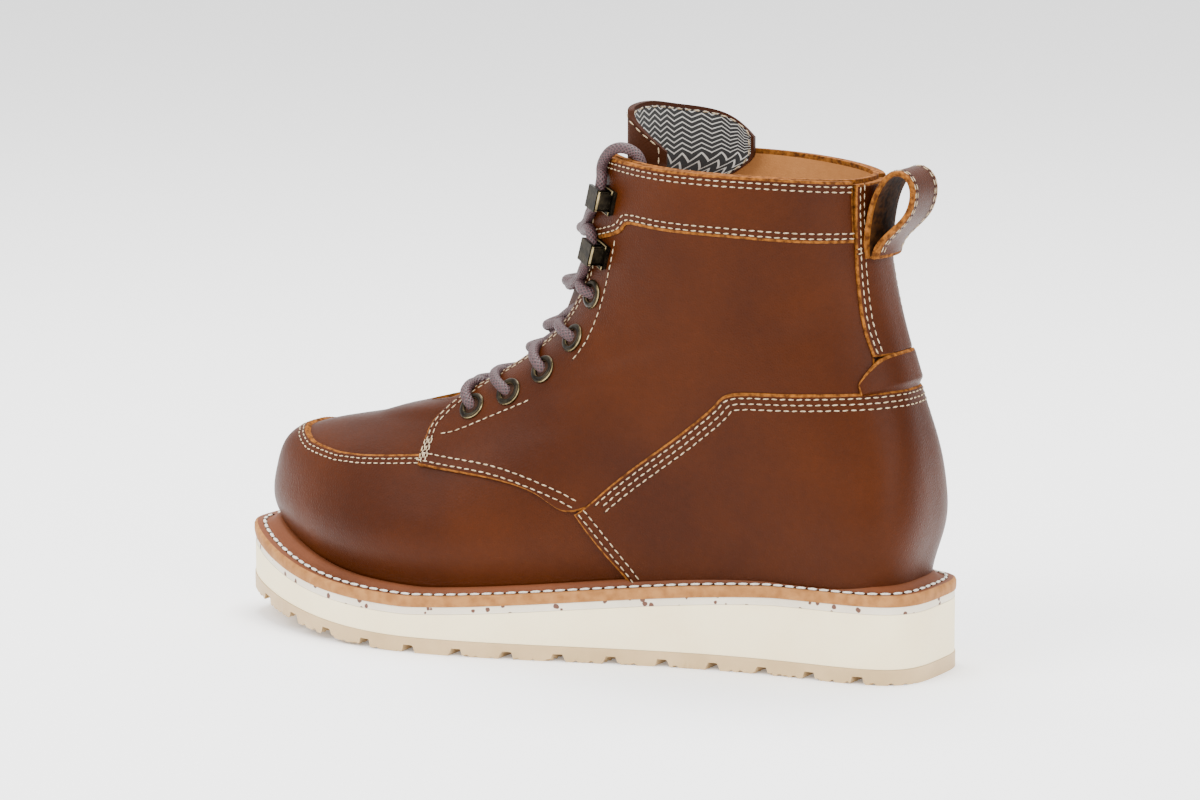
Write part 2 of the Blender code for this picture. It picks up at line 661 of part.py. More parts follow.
def bar(name, start, end, raised, material):
    """A length of lace over the tongue, from one (share of half gap, up) in the throat to another."""
    bm = bmesh.new()
    bmesh.ops.create_cone(
        bm, cap_ends=True, segments=5, radius1=LACE_RADIUS, radius2=LACE_RADIUS, depth=1.0,
    )
    sides = [edge for edge in bm.edges if abs(edge.verts[0].co.z - edge.verts[1].co.z) > 0.5]
    bmesh.ops.subdivide_edges(bm, edges=sides, cuts=3)
    spots = parameters(bm)
    t = spots[:, 2] + 0.5

    def line(t):
        share = start[0] + (end[0] - start[0]) * t
        up = start[1] + (end[1] - start[1]) * t
        around = np.sign(share + 1e-9) * (1 - (1 - throat_edge(up)) * np.abs(share) ** 1.4)
        return around, up

    middle = lifted(*line(t), np.full_like(t, TONGUE_OUTER + LACE_RADIUS + BAR_SEAT + raised))
    run = lifted(*line(t + 0.02), np.zeros_like(t)) - lifted(*line(t - 0.02), np.zeros_like(t))
    run = run / np.linalg.norm(run, axis=-1, keepdims=True)
    out = lifted(*line(t), np.ones_like(t)) - lifted(*line(t), np.zeros_like(t))
    flank = np.cross(run, out)
    points = middle + out * spots[:, :1] + flank * spots[:, 1:2]
    return to_object(name, bm, points, material)


def make_crossings(cord):
    for i, up in enumerate(CROSSINGS_UP):
        low, high = up - CROSSING_RISE, up + CROSSING_RISE
        first = bar(f"lace_crossing_{i + 1}", (CROSSING_SPAN, low), (-CROSSING_SPAN, high), 0.0, cord)
        over = f"lace_crossing_{i + 1}_over"
        second = bar(over, (-CROSSING_SPAN, low), (CROSSING_SPAN, high), OVER_RAISED, cord)
        apply_boolean(first, second, "UNION")


def main():
    for thing in list(bpy.data.objects):
        bpy.data.objects.remove(thing, do_unlink=True)
    leather = finish("brown_leather", (0.20, 0.055, 0.022), 0.42)
    suede = finish("loop_leather", (0.16, 0.045, 0.018), 0.6)
    rubber = finish("cream_tread", (0.78, 0.68, 0.52), 0.6)
    cream = finish("cream_wedge", (0.88, 0.80, 0.66), 0.55)
    speckled = finish("speckled_layer", (0.80, 0.74, 0.64), 0.55)
    welt_leather = finish("tan_welt", (0.62, 0.36, 0.18), 0.55)
    board = finish("insole_board", (0.62, 0.40, 0.20), 0.7)
    brass = finish("antique_brass", (0.12, 0.10, 0.06), 0.35, 1.0)
    cord = finish("plum_cord", (0.14, 0.07, 0.07), 0.6)
    make_sole(rubber, cream, speckled, welt_leather)
    make_insole(board)
    make_upper(leather)
    make_overlays(leather)
    make_loop(suede)
    make_tongue(leather)
    make_eyelets(brass)
    make_hooks(brass)
    make_crossings(cord)


main()
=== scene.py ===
"""The looks of a left wedge sole work boot: toe along +X, lateral side along +Y, up along +Z.

Sizes are in millimetres until a mesh is made. The leather follows skin(around, up): around runs
from 0 at the heel's centre to 1 at the toe's centre on the lateral side and to -1 on the medial
side, and up runs from 0 at the lasting margin to 1 at the collar.
"""

import bmesh
import bpy
import numpy as np
from mathutils import Matrix, Vector


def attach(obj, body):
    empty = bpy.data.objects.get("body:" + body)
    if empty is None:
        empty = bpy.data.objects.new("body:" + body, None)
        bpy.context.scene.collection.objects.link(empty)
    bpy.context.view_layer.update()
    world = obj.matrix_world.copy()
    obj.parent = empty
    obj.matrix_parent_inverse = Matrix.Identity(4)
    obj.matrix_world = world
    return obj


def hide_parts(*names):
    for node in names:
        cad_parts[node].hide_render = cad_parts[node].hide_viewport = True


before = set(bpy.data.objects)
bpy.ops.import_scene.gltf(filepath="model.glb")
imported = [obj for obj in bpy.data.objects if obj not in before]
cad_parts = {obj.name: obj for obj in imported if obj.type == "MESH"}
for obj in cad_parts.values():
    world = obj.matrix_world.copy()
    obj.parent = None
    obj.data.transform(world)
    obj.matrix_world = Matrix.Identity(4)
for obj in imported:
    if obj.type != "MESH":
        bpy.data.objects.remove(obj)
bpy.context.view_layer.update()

MM = 0.001
# The step of around and up that gives the skin's slope
STEP = 0.002
# An angle that leaves no edge of a piece sharp
SMOOTH = 3.0
PLATE_SIZE = (300.0, 100.0)
SIDES = ((1, "lateral"), (-1, "medial"))
HEEL_X = -153.0
TOE_X = 153.0

# The sole's outline and layers
SOLE_STATIONS = (0.12, 0.42, 0.70, 0.92)
SOLE_WIDTHS = (40.5, 39.5, 56.0, 46.5)
SOLE_ROUND_BACK = 0.60
SOLE_ROUND_FRONT = 0.55
TREAD = 6.2
HEEL_WEDGE = 21.5
BALL_WEDGE = 9.0
TOE_WEDGE_GAIN = 4.0
WEDGE_FALL_X = (-95.0, 55.0)
WEDGE_GAIN_X = (90.0, 150.0)
SPECKLED = 2.9
WELT = 4.6
WELT_RIM = 2.6
# The welt's section: share of the way from its edge to the upper, and height over the midsole
WELT_PROFILE = (
    (0.0, 0.1), (-0.02, 1.2), (-0.02, 3.4), (0.02, WELT - 0.3), (0.09, WELT), (0.34, WELT - 0.1),
    (0.60, WELT + 0.1), (0.70, WELT + 1.2), (0.80, WELT + WELT_RIM - 0.3), (0.92, WELT + WELT_RIM),
    (1.08, WELT + WELT_RIM - 0.6), (1.08, 0.1),
)
WELT_EDGE_ROWS = 4
WELT_SEAM = 0.36
FOOT_GAP = 0.4
TOE_SPRING = 11.5
SPRING_START_X = 50.0
LUG = 3.0
LUG_PITCH = 20.5
LUG_GROOVE = 5.0
EDGE_LUG_FROM = 15.75
MIDDLE_GROOVE = 11.0
FIRST_GROOVE_X = -132.0
LAST_GROOVE_X = 138.0
LAST_MIDDLE_GROOVE_X = 123.0
PLAIN_BARS = ((-122.0, -80.0), (18.0, 54.0))

# How far each layer of leather stands over the skin
UPPER_WALL = 2.2
PLUG_DEPTH = 1.3
PANEL_UNDER = 0.1
RAW_BAND = 0.9
UNDER_BAND = 1.9
QUARTER_TOP = 2.1
OVERLAY_TOP = 3.1
TAB_TOP = 4.4
STRAP_TOP = 3.6
TONGUE_OUTER = -2.9
TONGUE_INNER = -5.5
INSOLE = 5.0

# Stitching
STITCH_PITCH = 3.3
STITCH_LENGTH = 2.35
STITCH_WIDTH = 0.30
STITCH_LEAN = (0.09, -0.02)
APART = 4.0
WELT_PITCH = 5.0
WELT_STITCH = 4.5
WELT_THREAD = 0.8

CENTRE_X = (-160.0, -110.0, -50.0, 10.0, 70.0, 115.0, 155.0)
CENTRE_Y = (0.0, 0.0, 1.0, 2.0, 1.0, -3.0, -8.0)

# Columns: up, x_back, x_front, z_back, z_waist, z_ball, z_front,
# w_back, w_waist, w_ball, w_front, round_back, round_front
RINGS = np.array([
    (0.00, -140.0, 137.0, 31.0, 23.5, 18.5, 30.0, 31.0, 30.0, 45.5, 37.5, 0.60, 0.55),
    (0.04, -141.5, 139.0, 41.0, 32.0, 27.0, 38.0, 32.0, 30.5, 46.0, 38.0, 0.60, 0.55),
    (0.10, -145.0, 143.0, 54.0, 43.0, 38.0, 47.0, 35.0, 33.5, 50.5, 42.0, 0.60, 0.55),
    (0.20, -146.5, 142.0, 70.0, 60.0, 56.0, 62.0, 36.0, 35.0, 49.0, 41.0, 0.60, 0.55),
    (0.30, -145.0, 134.0, 86.0, 77.0, 72.0, 76.0, 35.0, 35.0, 42.0, 36.0, 0.60, 0.55),
    (0.40, -141.0, 111.0, 102.0, 94.0, 86.0, 84.0, 34.0, 35.0, 34.0, 26.5, 0.62, 0.60),
    (0.52, -135.5, 69.0, 121.0, 115.0, 105.0, 93.5, 33.0, 35.0, 30.0, 25.0, 0.66, 0.68),
    (0.66, -128.5, 25.5, 143.0, 139.0, 132.0, 115.0, 33.0, 36.0, 31.0, 16.5, 0.70, 0.80),
    (0.82, -123.5, 4.0, 168.0, 166.0, 164.0, 154.0, 35.0, 38.0, 34.0, 21.5, 0.75, 0.76),
    (1.00, -122.0, -7.5, 193.0, 196.0, 197.5, 200.0, 36.5, 40.0, 37.0, 23.0, 0.80, 0.78),
])
HEIGHT_STATIONS = (0.0, 0.42, 0.70, 1.0)
WIDTH_STATIONS = (0.12, 0.42, 0.70, 0.92)

# Lines on the skin, as rows of (around, up)
MOC_SEAM = ((0.6, 0.345), (0.66, 0.336), (0.73, 0.314), (0.77, 0.307), (0.84, 0.31), (0.93, 0.336),
            (1.0, 0.342))
COUNTER_EDGE = ((0.0, 0.462), (0.033, 0.462), (0.068, 0.461), (0.11, 0.459), (0.165, 0.458),
                (0.225, 0.459), (0.285, 0.464), (0.341, 0.469), (0.357, 0.445), (0.373, 0.408),
                (0.39, 0.373), (0.413, 0.329), (0.44, 0.273), (0.461, 0.222))
COUNTER_CORNER = (0.474, 0.196)
COUNTER_FOOT = (0.42, 0.01)
QUARTER_TOE = ((0.477, 0.202), (0.509, 0.241), (0.556, 0.279), (0.605, 0.296), (0.643, 0.305))
QUARTER_FRONT = ((0.643, 0.305), (0.652, 0.33), (0.662, 0.354), (0.678, 0.384), (0.701, 0.417),
                 (0.734, 0.462), (0.769, 0.505), (0.797, 0.546), (0.808, 0.583), (0.8, 0.63),
                 (0.775, 0.685), (0.76, 0.735), (0.75, 0.785), (0.774, 0.848))
QUARTER_COLLAR = ((0.09, 0.845), (0.26, 0.86), (0.405, 0.872), (0.535, 0.878), (0.63, 0.884),
                  (0.668, 0.866), (0.774, 0.848))
QUARTER_BACK = ((0.13, 0.44), (0.115, 0.49), (0.1, 0.535), (0.095, 0.65), (0.092, 0.74),
                (0.09, 0.845))
COLLAR_LOW = ((0.1, 0.829), (0.26, 0.843), (0.405, 0.855), (0.535, 0.861), (0.622, 0.87),
              (0.645, 0.864), (0.668, 0.848), (0.776, 0.838))
COLLAR_TOP = ((0.1, 0.997), (0.26, 0.999), (0.405, 1.0), (0.535, 1.0), (0.63, 0.999),
              (0.72, 0.997), (0.83, 0.992))
COLLAR_BACK = ((0.1, 0.829), (0.1, 0.915), (0.1, 0.997))
COLLAR_FRONT = ((0.776, 0.838), (0.814, 0.92), (0.83, 0.992))
STRAP_SIDE = ((0.104, 0.545), (0.112, 0.6), (0.112, 0.65), (0.107, 0.715), (0.1, 0.797),
              (0.095, 0.85), (0.092, 0.92), (0.09, 0.988))
TAB_EDGE = ((0.0, 0.549), (0.06, 0.546), (0.1, 0.532), (0.13, 0.505), (0.148, 0.478))
TAB_FOOT = (0.142, 0.444)
EYESTAY_SEAM = ((0.667, 0.839), (0.664, 0.798), (0.661, 0.758), (0.652, 0.708), (0.641, 0.665),
                (0.629, 0.628), (0.621, 0.59))
INSTEP_SEAM = ((0.662, 0.391), (0.647, 0.403), (0.634, 0.439), (0.609, 0.49))

THROAT_UP = (0.515, 0.53, 0.56, 0.6, 0.66, 0.72, 0.78, 0.85, 0.92, 1.0)
THROAT_AROUND = (1.0, 0.84, 0.825, 0.815, 0.79, 0.77, 0.76, 0.792, 0.826, 0.838)
THROAT_FOOT = 0.52
SEAM_ROW = 0.318
SEAM_STEP = 0.0045
# The upper's rows: a row's number, and how far up it lies
UPPER_SPACING = (
    (0, 3, 5, 12, 20, 29, 36, 40, 43, 47, 55, 62, 67, 69, 71, 73, 76, 84, 92, 101, 111, 121, 130),
    (0.0, 0.02, 0.04, 0.1, 0.165, 0.24, 0.3, SEAM_ROW, SEAM_ROW + SEAM_STEP, 0.335, 0.4, 0.46,
     0.505, 0.515, 0.522, 0.53, 0.545, 0.6, 0.66, 0.73, 0.81, 0.9, 1.0),
)
UPPER_ROWS = 130
THROAT_ROW = 69

# Soft troughs (negative) and ridges (positive) where the boot flexes: around, up at both ends, half
# width and depth
CREASES = (
    (0.6, 0.5, 0.5, 0.56, 5.0, -0.55),
    (0.585, 0.555, 0.47, 0.61, 5.5, 0.4),
    (0.57, 0.43, 0.5, 0.4, 6.0, -0.4),
    (0.3, 0.56, 0.2, 0.64, 7.0, -0.45),
    (0.33, 0.62, 0.22, 0.7, 8.0, 0.35),
    (0.66, 0.2, 0.62, 0.27, 6.0, -0.35),
    (0.7, 0.19, 0.67, 0.26, 6.0, 0.25),
)
CREASE_AROUND = 150.0
CREASE_UP = 165.0

EYELETS = ((0.692, 0.477), (0.670, 0.516), (0.664, 0.570), (0.673, 0.640), (0.697, 0.733))
HOOKS = ((0.703, 0.813), (0.715, 0.916))
# Radius and height round the ring's section, and the bands of it that carry a painted highlight
EYELET_PROFILE = ((5.8, -0.3), (5.8, 0.3), (5.6, 0.7), (5.2, 1.0), (4.6, 1.15), (4.1, 1.1), (3.6, 0.85),
                  (3.3, 0.5), (3.05, -0.3))
EYELET_HIGHLIGHT = (1, 6)
EYELET_HOLE = 3.5
# The hook's plate, neck, knob and two ribs: middle and half size towards the throat, up and outwards,
# then the rounding of its edges and of its corners
HOOK_PARTS = (
    ((0.0, 0.0, 0.45), (5.2, 4.6, 0.75), 0.5, 1.6), ((-1.9, 0.0, 3.4), (1.1, 3.4, 3.0), 0.6, 0.0),
    ((1.3, 0.0, 6.6), (3.9, 4.5, 0.75), 0.4, 1.6), ((0.0, -4.3, 1.4), (4.8, 0.45, 0.55), 0.3, 0.0),
    ((0.0, 4.3, 1.4), (4.8, 0.45, 0.55), 0.3, 0.0),
)
LACE_RADIUS = 2.2
LACE_EDGE_UP = (0.565, 0.592, 0.648, 0.690, 0.765)
# Share of the way to the throat's edge, and height over the skin
LACE_OUTWARD = ((0.10, 2.6), (0.34, 4.3), (0.60, 4.1), (0.84, 3.0), (1.02, 1.2))
# Height over the skin in the middle: the lateral side's strand runs on top
LACE_CENTRE = {1: 1.1, -1: -1.8}
LACE_SIDES = 14
LACE_STEP = 0.9
BRAID_STEP = 1.5
BRAID_STRANDS = 8
LOW_HOOK_ROUTE = ((5.4, -6.5, 2.6), (3.0, -3.4, 3.3), (2.0, 0.0, 3.6), (3.4, 3.4, 3.6), (7.0, 6.0, 2.8))
HIGH_HOOK_ROUTE = ((6.4, -5.6, 2.8), (3.2, -3.2, 3.4), (2.0, 0.0, 3.6), (3.0, 3.6, 3.4), (5.0, 7.5, 2.6))

# Over the collar's edge: around, up, height over the skin, and millimetres straight up
COLLAR_ROUTE = ((0.757, 0.972, 5.2, 0.0), (0.740, 0.996, 4.6, 1.5), (0.712, 1.0, 1.4, 4.2),
                (0.688, 1.0, -3.0, 2.6), (0.672, 0.985, -4.6, -2.0))

# The pull loop's middle line from the side, as x and z
LOOP_LINE = ((-128.3, 163.0), (-127.8, 173.0), (-128.9, 184.0), (-131.6, 191.5), (-135.8, 195.8),
             (-140.6, 195.9), (-143.9, 192.3), (-144.4, 186.5), (-142.0, 180.0), (-137.3, 174.3),
             (-133.0, 169.0), (-131.3, 163.0))
LOOP_THICK = 2.2
LOOP_HALF_WIDTH = 12.5
LOOP_BEND = 2.3

TONGUE_FOOT = 0.44
TONGUE_REACH = 0.33
TONGUE_LEAVES = 0.885
TONGUE_FREE = 0.99
TONGUE_HELD_ROWS = 0.8
CHEVRON_WIDTH = 3.2
CHEVRON_STRIPE = 1.6
# The tongue's top line: turn across it, then x, y and z
TONGUE_TOP = ((-1.0, -41.0, 14.0, 200.0), (-0.62, -27.0, 15.5, 212.0), (-0.25, -23.5, 10.0, 217.0),
              (0.05, -26.5, -1.0, 218.0), (0.35, -33.0, -13.0, 216.0), (0.70, -46.0, -28.5, 211.5),
              (1.0, -57.0, -33.5, 202.0))

# The camera: degrees to the side and up, metres away, and the origin's place in the 1200 x 800 frame
CAMERA_SIDE = 27.0
CAMERA_UP = 9.0
CAMERA_AWAY = 2.4
CAMERA_LENS = 180.0
ORIGIN_PIXEL = (589.0, 640.0)
FOCAL_PIXELS = 6000.0

# The light: name, place, size across and watts of each soft lamp
LIGHTS = (("key", (0.7, 1.5, 1.5), 1.4, 50.0), ("over", (0.1, -0.3, 1.7), 1.1, 62.0),
          ("heel_side", (-1.6, 0.9, 0.8), 1.2, 26.0))
WORLD_STRENGTH = 1.6
FLOOR_GLOW = 0.2


def spline(xs, ys, x):
    """The smooth curve through the points (xs, ys), read at x."""
    xs = np.asarray(xs, float)
    ys = np.asarray(ys, float)
    x = np.asarray(x, float)
    count = len(xs)
    step = np.diff(xs)
    rise = np.diff(ys) / step
    ends = np.gradient(ys, xs, edge_order=2)
    matrix = np.eye(count)
    right = ends.copy()
    for i in range(1, count - 1):
        matrix[i, i - 1:i + 2] = step[i], 2 * (step[i - 1] + step[i]), step[i - 1]
        right[i] = 3 * (step[i] * rise[i - 1] + step[i - 1] * rise[i])
    slope = np.linalg.solve(matrix, right)
    i = np.clip(np.searchsorted(xs, x) - 1, 0, count - 2)
    t = (x - xs[i]) / step[i]
    start = ys[i] * (1 + 2 * t) * (1 - t) ** 2 + slope[i] * step[i] * t * (1 - t) ** 2
    end = ys[i + 1] * t * t * (3 - 2 * t) + slope[i + 1] * step[i] * t * t * (t - 1)
    return start + end


def through(stations, values, s):
    """The polynomial through one value at each station, read at s."""
    total = 0.0
    for i, value in enumerate(values):
        weight = 1.0
        for j, station in enumerate(stations):
            if j != i:
                weight = weight * (s - station) / (stations[i] - station)
        total = total + weight * value
    return total


def ease(t):
    """0 below 0, 1 above 1, smooth between."""
    t = np.clip(t, 0.0, 1.0)
    return t * t * (3 - 2 * t)


def share_between(x, limits):
    """0 at the first limit, 1 at the second, and no further."""
    return np.clip((x - limits[0]) / (limits[1] - limits[0]), 0.0, 1.0)


def centre_line(x):
    return spline(CENTRE_X, CENTRE_Y, x)


def ground(x):
    """The tread's lower face: flat from heel to ball, then the toe spring."""
    return TOE_SPRING * share_between(x, (SPRING_START_X, TOE_X)) ** 2


def wedge_height(x):
    fall = share_between(x, WEDGE_FALL_X)
    fall = 0.35 * ease(fall) + 0.65 * fall
    gain = TOE_WEDGE_GAIN * share_between(x, WEDGE_GAIN_X) ** 2
    return HEEL_WEDGE + (BALL_WEDGE - HEEL_WEDGE) * fall + gain


def midsole_top(x):
    return ground(x) + TREAD + wedge_height(x) + SPECKLED


def sole_edge(around, inset=0.0):
    """x and y of the sole's outline, drawn in by inset."""
    angle = np.pi * np.abs(around)
    s = (1 - np.cos(angle)) / 2
    x = HEEL_X + inset + (TOE_X - HEEL_X - 2 * inset) * s
    width = through(SOLE_STATIONS, SOLE_WIDTHS, s) - inset
    power = SOLE_ROUND_BACK + (SOLE_ROUND_FRONT - SOLE_ROUND_BACK) * s
    return x, centre_line(x) + np.sign(around) * width * np.sin(angle).clip(0) ** power


def skin(around, up):
    """A point of the leather's surface, as an array of x, y, z."""
    around, up = np.broadcast_arrays(np.asarray(around, float), np.asarray(up, float))
    around = (around + 1) % 2 - 1
    columns = [spline(RINGS[:, 0], RINGS[:, k], up) for k in range(1, RINGS.shape[1])]
    x_back, x_front = columns[0:2]
    angle = np.pi * np.abs(around)
    s = (1 - np.cos(angle)) / 2
    x = x_back + (x_front - x_back) * s
    z = through(HEIGHT_STATIONS, columns[2:6], s)
    width = through(WIDTH_STATIONS, columns[6:10], s)
    power = columns[10] + (columns[11] - columns[10]) * s
    y = centre_line(x) + np.sign(around) * width * np.sin(angle).clip(0) ** power
    return np.stack([x, y, z], axis=-1)


def creased(around, up):
    """How far the creases lift the leather at a spot; both sides of the boot have them."""
    here = np.stack([np.abs(around) * CREASE_AROUND, up * CREASE_UP], axis=-1)
    total = 0.0
    for around_a, up_a, around_b, up_b, half, depth in CREASES:
        start = np.array([around_a * CREASE_AROUND, up_a * CREASE_UP])
        run = np.array([around_b * CREASE_AROUND, up_b * CREASE_UP]) - start
        t = np.clip((here - start) @ run / run.dot(run), 0, 1)
        away = np.linalg.norm(here - start - t[..., None] * run, axis=-1)
        total = total + depth * np.exp(-(away / half) ** 2) * (0.35 + 0.65 * np.sin(np.pi * t))
    return total


def unit(rows):
    """Each row brought to a length of 1."""
    return rows / np.linalg.norm(rows, axis=-1, keepdims=True)


def slopes(around, up):
    """How the skin runs with around and with up, and its outward normal."""
    by_around = (skin(around + STEP, up) - skin(around - STEP, up)) / (2 * STEP)
    by_up = (skin(around, up + STEP) - skin(around, up - STEP)) / (2 * STEP)
    return by_around, by_up, unit(np.cross(by_up, by_around))


def lifted(around, up, lift):
    """A point at a height of lift over the skin, along its outward normal, with the creases in it."""
    around, up, lift = np.broadcast_arrays(around, up, lift)
    return skin(around, up) + slopes(around, up)[2] * (lift + creased(around, up))[..., None]


def throat_edge(up):
    return np.interp(up, THROAT_UP, THROAT_AROUND)


def moc_seam(around):
    table = np.array(MOC_SEAM)
    return np.interp(np.abs(around), table[:, 0], table[:, 1])


def curve(knots, table, at):
    """A point of the smooth line through a table's rows, where each row has its knot."""
    return np.stack([spline(knots, column, at) for column in np.asarray(table, float).T], axis=-1)


def line_at(table, t):
    """The same for rows that are equal steps of t apart, from 0 to 1."""
    return curve(np.linspace(0, 1, len(table)), table, t)


def between_lines(bottom, top, back, front, along, across):
    """The Coons patch of four lines that meet at their ends, read at along and across."""
    low, high = line_at(bottom, along), line_at(top, along)
    left, right = line_at(back, across), line_at(front, across)
    along = along[..., None]
    across = across[..., None]
    corners = [np.asarray(line[end]) for line in (bottom, top) for end in (0, -1)]
    foot = (1 - along) * corners[0] + along * corners[1]
    head = (1 - along) * corners[2] + along * corners[3]
    return (1 - across) * (low - foot) + across * (high - head) + (1 - along) * left + along * right


def mirrored(table):
    """A line that runs on across the heel's centre, from the medial side to the lateral."""
    half = [tuple(row) for row in table]
    return [(-around, up) for around, up in reversed(half)] + half[1:]


# The shift across that sets the model's box on the X axis
edge_y = sole_edge(np.linspace(-1, 1, 801))[1]
SIDE_SHIFT = -(edge_y.max() + edge_y.min()) / 2


def local_frame(around, up, lift):
    """Centre, normal, direction round the boot and direction up it, at one spot over the skin."""
    centre = lifted(around, up, lift)
    normal = lifted(around, up, lift + 1.0) - centre
    rise = lifted(around, up + 2 * STEP, lift) - centre
    rise = unit(rise - normal * rise.dot(normal))
    return centre, normal, np.cross(normal, rise), rise


# Materials


class Finish:
    """A material being made: its shader, and nodes that are added and joined in one call."""

    def __init__(self, name, colour, roughness, metallic=0.0):
        self.material = bpy.data.materials.new(name)
        self.material.use_nodes = True
        self.tree = self.material.node_tree
        self.shader = self.tree.nodes["Principled BSDF"]
        self.place = self.tree.nodes.new("ShaderNodeTexCoord").outputs
        self.fill(self.shader, {"Base Color": colour, "Roughness": roughness, "Metallic": metallic})

    def fill(self, node, inputs):
        """Gives each input of a node a number, a colour or another node's output."""
        for key, value in inputs.items():
            socket = node.inputs[key]
            if isinstance(value, bpy.types.NodeSocket):
                self.tree.links.new(value, socket)
            else:
                socket.default_value = (*value, 1.0) if socket.type == "RGBA" else value

    def add(self, kind, inputs, output=0, **settings):
        """A new node with its inputs filled; returns one of its outputs."""
        node = self.tree.nodes.new(f"ShaderNode{kind}")
        for key, value in settings.items():
            setattr(node, key, value)
        self.fill(node, inputs)
        return node.outputs[output]

    def noise(self, scale, detail=4.0):
        inputs = {"Scale": scale, "Detail": detail, "Vector": self.place["Object"]}
        return self.add("TexNoise", inputs, "Fac")

    def cells(self, scale, feature="F1"):
        where = {"Scale": scale, "Vector": self.place["Object"]}
        return self.add("TexVoronoi", where, "Distance", feature=feature)

    def flat(self):
        """The piece's own flat coordinates, in millimetres: along and across."""
        split = self.add("SeparateXYZ", {"Vector": self.place["UV"]}).node.outputs
        return split["X"], split["Y"]

    def maths(self, operation, *values):
        return self.add("Math", dict(enumerate(values)), operation=operation)

    def ramp(self, factor, *stops):
        """Two colours by a factor: each stop is a position and its colour."""
        shade = self.add("ValToRGB", {"Fac": factor})
        for element, (position, colour) in zip(shade.node.color_ramp.elements, stops):
            element.position = position
            element.color = (*colour, 1.0)
        return shade

    def bump(self, height, strength, depth, **under):
        """A bump of depth metres; Normal may name the coarser bump below it."""
        inputs = {"Strength": strength, "Distance": depth, "Height": height, **under}
        return self.add("Bump", inputs, "Normal")

    def spread(self, factor, low, high):
        return self.add("MapRange", {"Value": factor, "To Min": low, "To Max": high}, "Result")

    def mixed(self, factor, first, second, kind="MIX"):
        return self.add("Mix", {0: factor, 6: first, 7: second}, 2, data_type="RGBA", blend_type=kind)

    def dress(self, inputs):
        """Fills the shader's own inputs and hands the material over."""
        self.fill(self.shader, inputs)
        return self.material


def grey(value):
    return (value,) * 3


def leather(name, dark, light, roughness, grain=0.35, coat=0.07):
    """Waxed pull-up leather: slow colour clouds, pebbled grain, pores, a thin coat of wax, and painted
    shade that darkens it towards its cut edges.
    """
    finish = Finish(name, light, roughness)
    clouds = finish.noise(16.0, 5.0)
    specks = finish.ramp(finish.noise(420.0, 3.0), (0.3, grey(0.82)), (0.7, grey(1.0)))
    colour = finish.mixed(0.6, finish.ramp(clouds, (0.34, dark), (0.62, light)), specks, "MULTIPLY")
    # The 'edge' attribute is painted shade: it blends the colour towards the dark tone near cut edges and
    # seams
    edge_shade = finish.add("Attribute", {}, "Fac", attribute_name="edge")
    folds = finish.bump(finish.noise(120.0, 6.0), 0.35 * grain, 0.0012)
    pebble = finish.bump(finish.cells(900.0, "DISTANCE_TO_EDGE"), grain, 0.0004, Normal=folds)
    return finish.dress({
        "Base Color": finish.mixed(finish.spread(edge_shade, 0.0, 0.55), colour, dark),
        "Normal": finish.bump(finish.noise(2600.0, 2.0), 0.15, 0.0002, Normal=pebble),
        "Roughness": finish.spread(clouds, roughness - 0.07, roughness + 0.10),
        "IOR": 1.17, "Coat IOR": 1.25, "Coat Weight": coat, "Coat Roughness": 0.32,
    })


def fibrous(name, dark, light, scale, roughness=0.85, depth=0.0006):
    """Raw cut leather, suede, board or thread: short fibres in two tones."""
    finish = Finish(name, light, roughness)
    grain = finish.noise(scale, 6.0)
    return finish.dress({
        "Base Color": finish.ramp(grain, (0.36, dark), (0.64, light)),
        "Normal": finish.bump(grain, 0.6, depth),
        "Sheen Weight": 0.15, "Sheen Roughness": 0.5, "Sheen Tint": light, "IOR": 1.2,
    })


def moulded(name, colour, stain, roughness, speck=None):
    """Foam or crepe rubber: faint stains and a fine matt skin; speck is the colour of its chips."""
    finish = Finish(name, colour, roughness)
    tone = finish.ramp(finish.noise(40.0, 6.0), (0.3, stain), (0.6, colour))
    if speck:
        ragged = finish.maths("MULTIPLY_ADD", finish.noise(300.0, 3.0), 0.55, finish.cells(230.0))
        tone = finish.mixed(finish.ramp(ragged, (0.50, grey(1.0)), (0.53, grey(0.0))), tone, speck)
    fine = finish.bump(finish.noise(900.0), 0.25, 0.0003)
    return finish.dress({
        "Base Color": tone,
        "Normal": finish.bump(finish.noise(130.0, 3.0), 0.2, 0.0008, Normal=fine),
        "Subsurface Weight": 0.06, "Subsurface Radius": (0.004, 0.003, 0.002),
    })


def aged_brass(name, dark, light):
    """Brass with a patchy patina, from dark to light."""
    finish = Finish(name, light, 0.36, 1.0)
    return finish.dress({
        "Base Color": finish.ramp(finish.noise(260.0, 5.0), (0.35, dark), (0.75, light)),
        "Normal": finish.bump(finish.noise(900.0, 3.0), 0.25, 0.0003),
    })


def braid():
    """A waxed round lace: crossing strands that follow the cord."""
    finish = Finish("waxed_braid", (0.16, 0.075, 0.08), 0.55)
    along, across = finish.flat()
    turn = finish.maths("MULTIPLY", along, 2 * np.pi / BRAID_STEP)
    strands = [
        finish.maths("SINE", finish.maths("MULTIPLY_ADD", across, sign * 2 * np.pi * BRAID_STRANDS, turn))
        for sign in (1.0, -1.0)
    ]
    weave = finish.maths("MAXIMUM", *strands)
    shade = finish.ramp(weave, (0.1, (0.014, 0.0045, 0.0055)), (0.9, (0.070, 0.024, 0.027)))
    worn = finish.ramp(finish.noise(70.0), (0.3, grey(0.75)), (0.7, grey(1.0)))
    return finish.dress({
        "Base Color": finish.mixed(1.0, shade, worn, "MULTIPLY"),
        "Normal": finish.bump(weave, 0.5, 0.0003),
    })


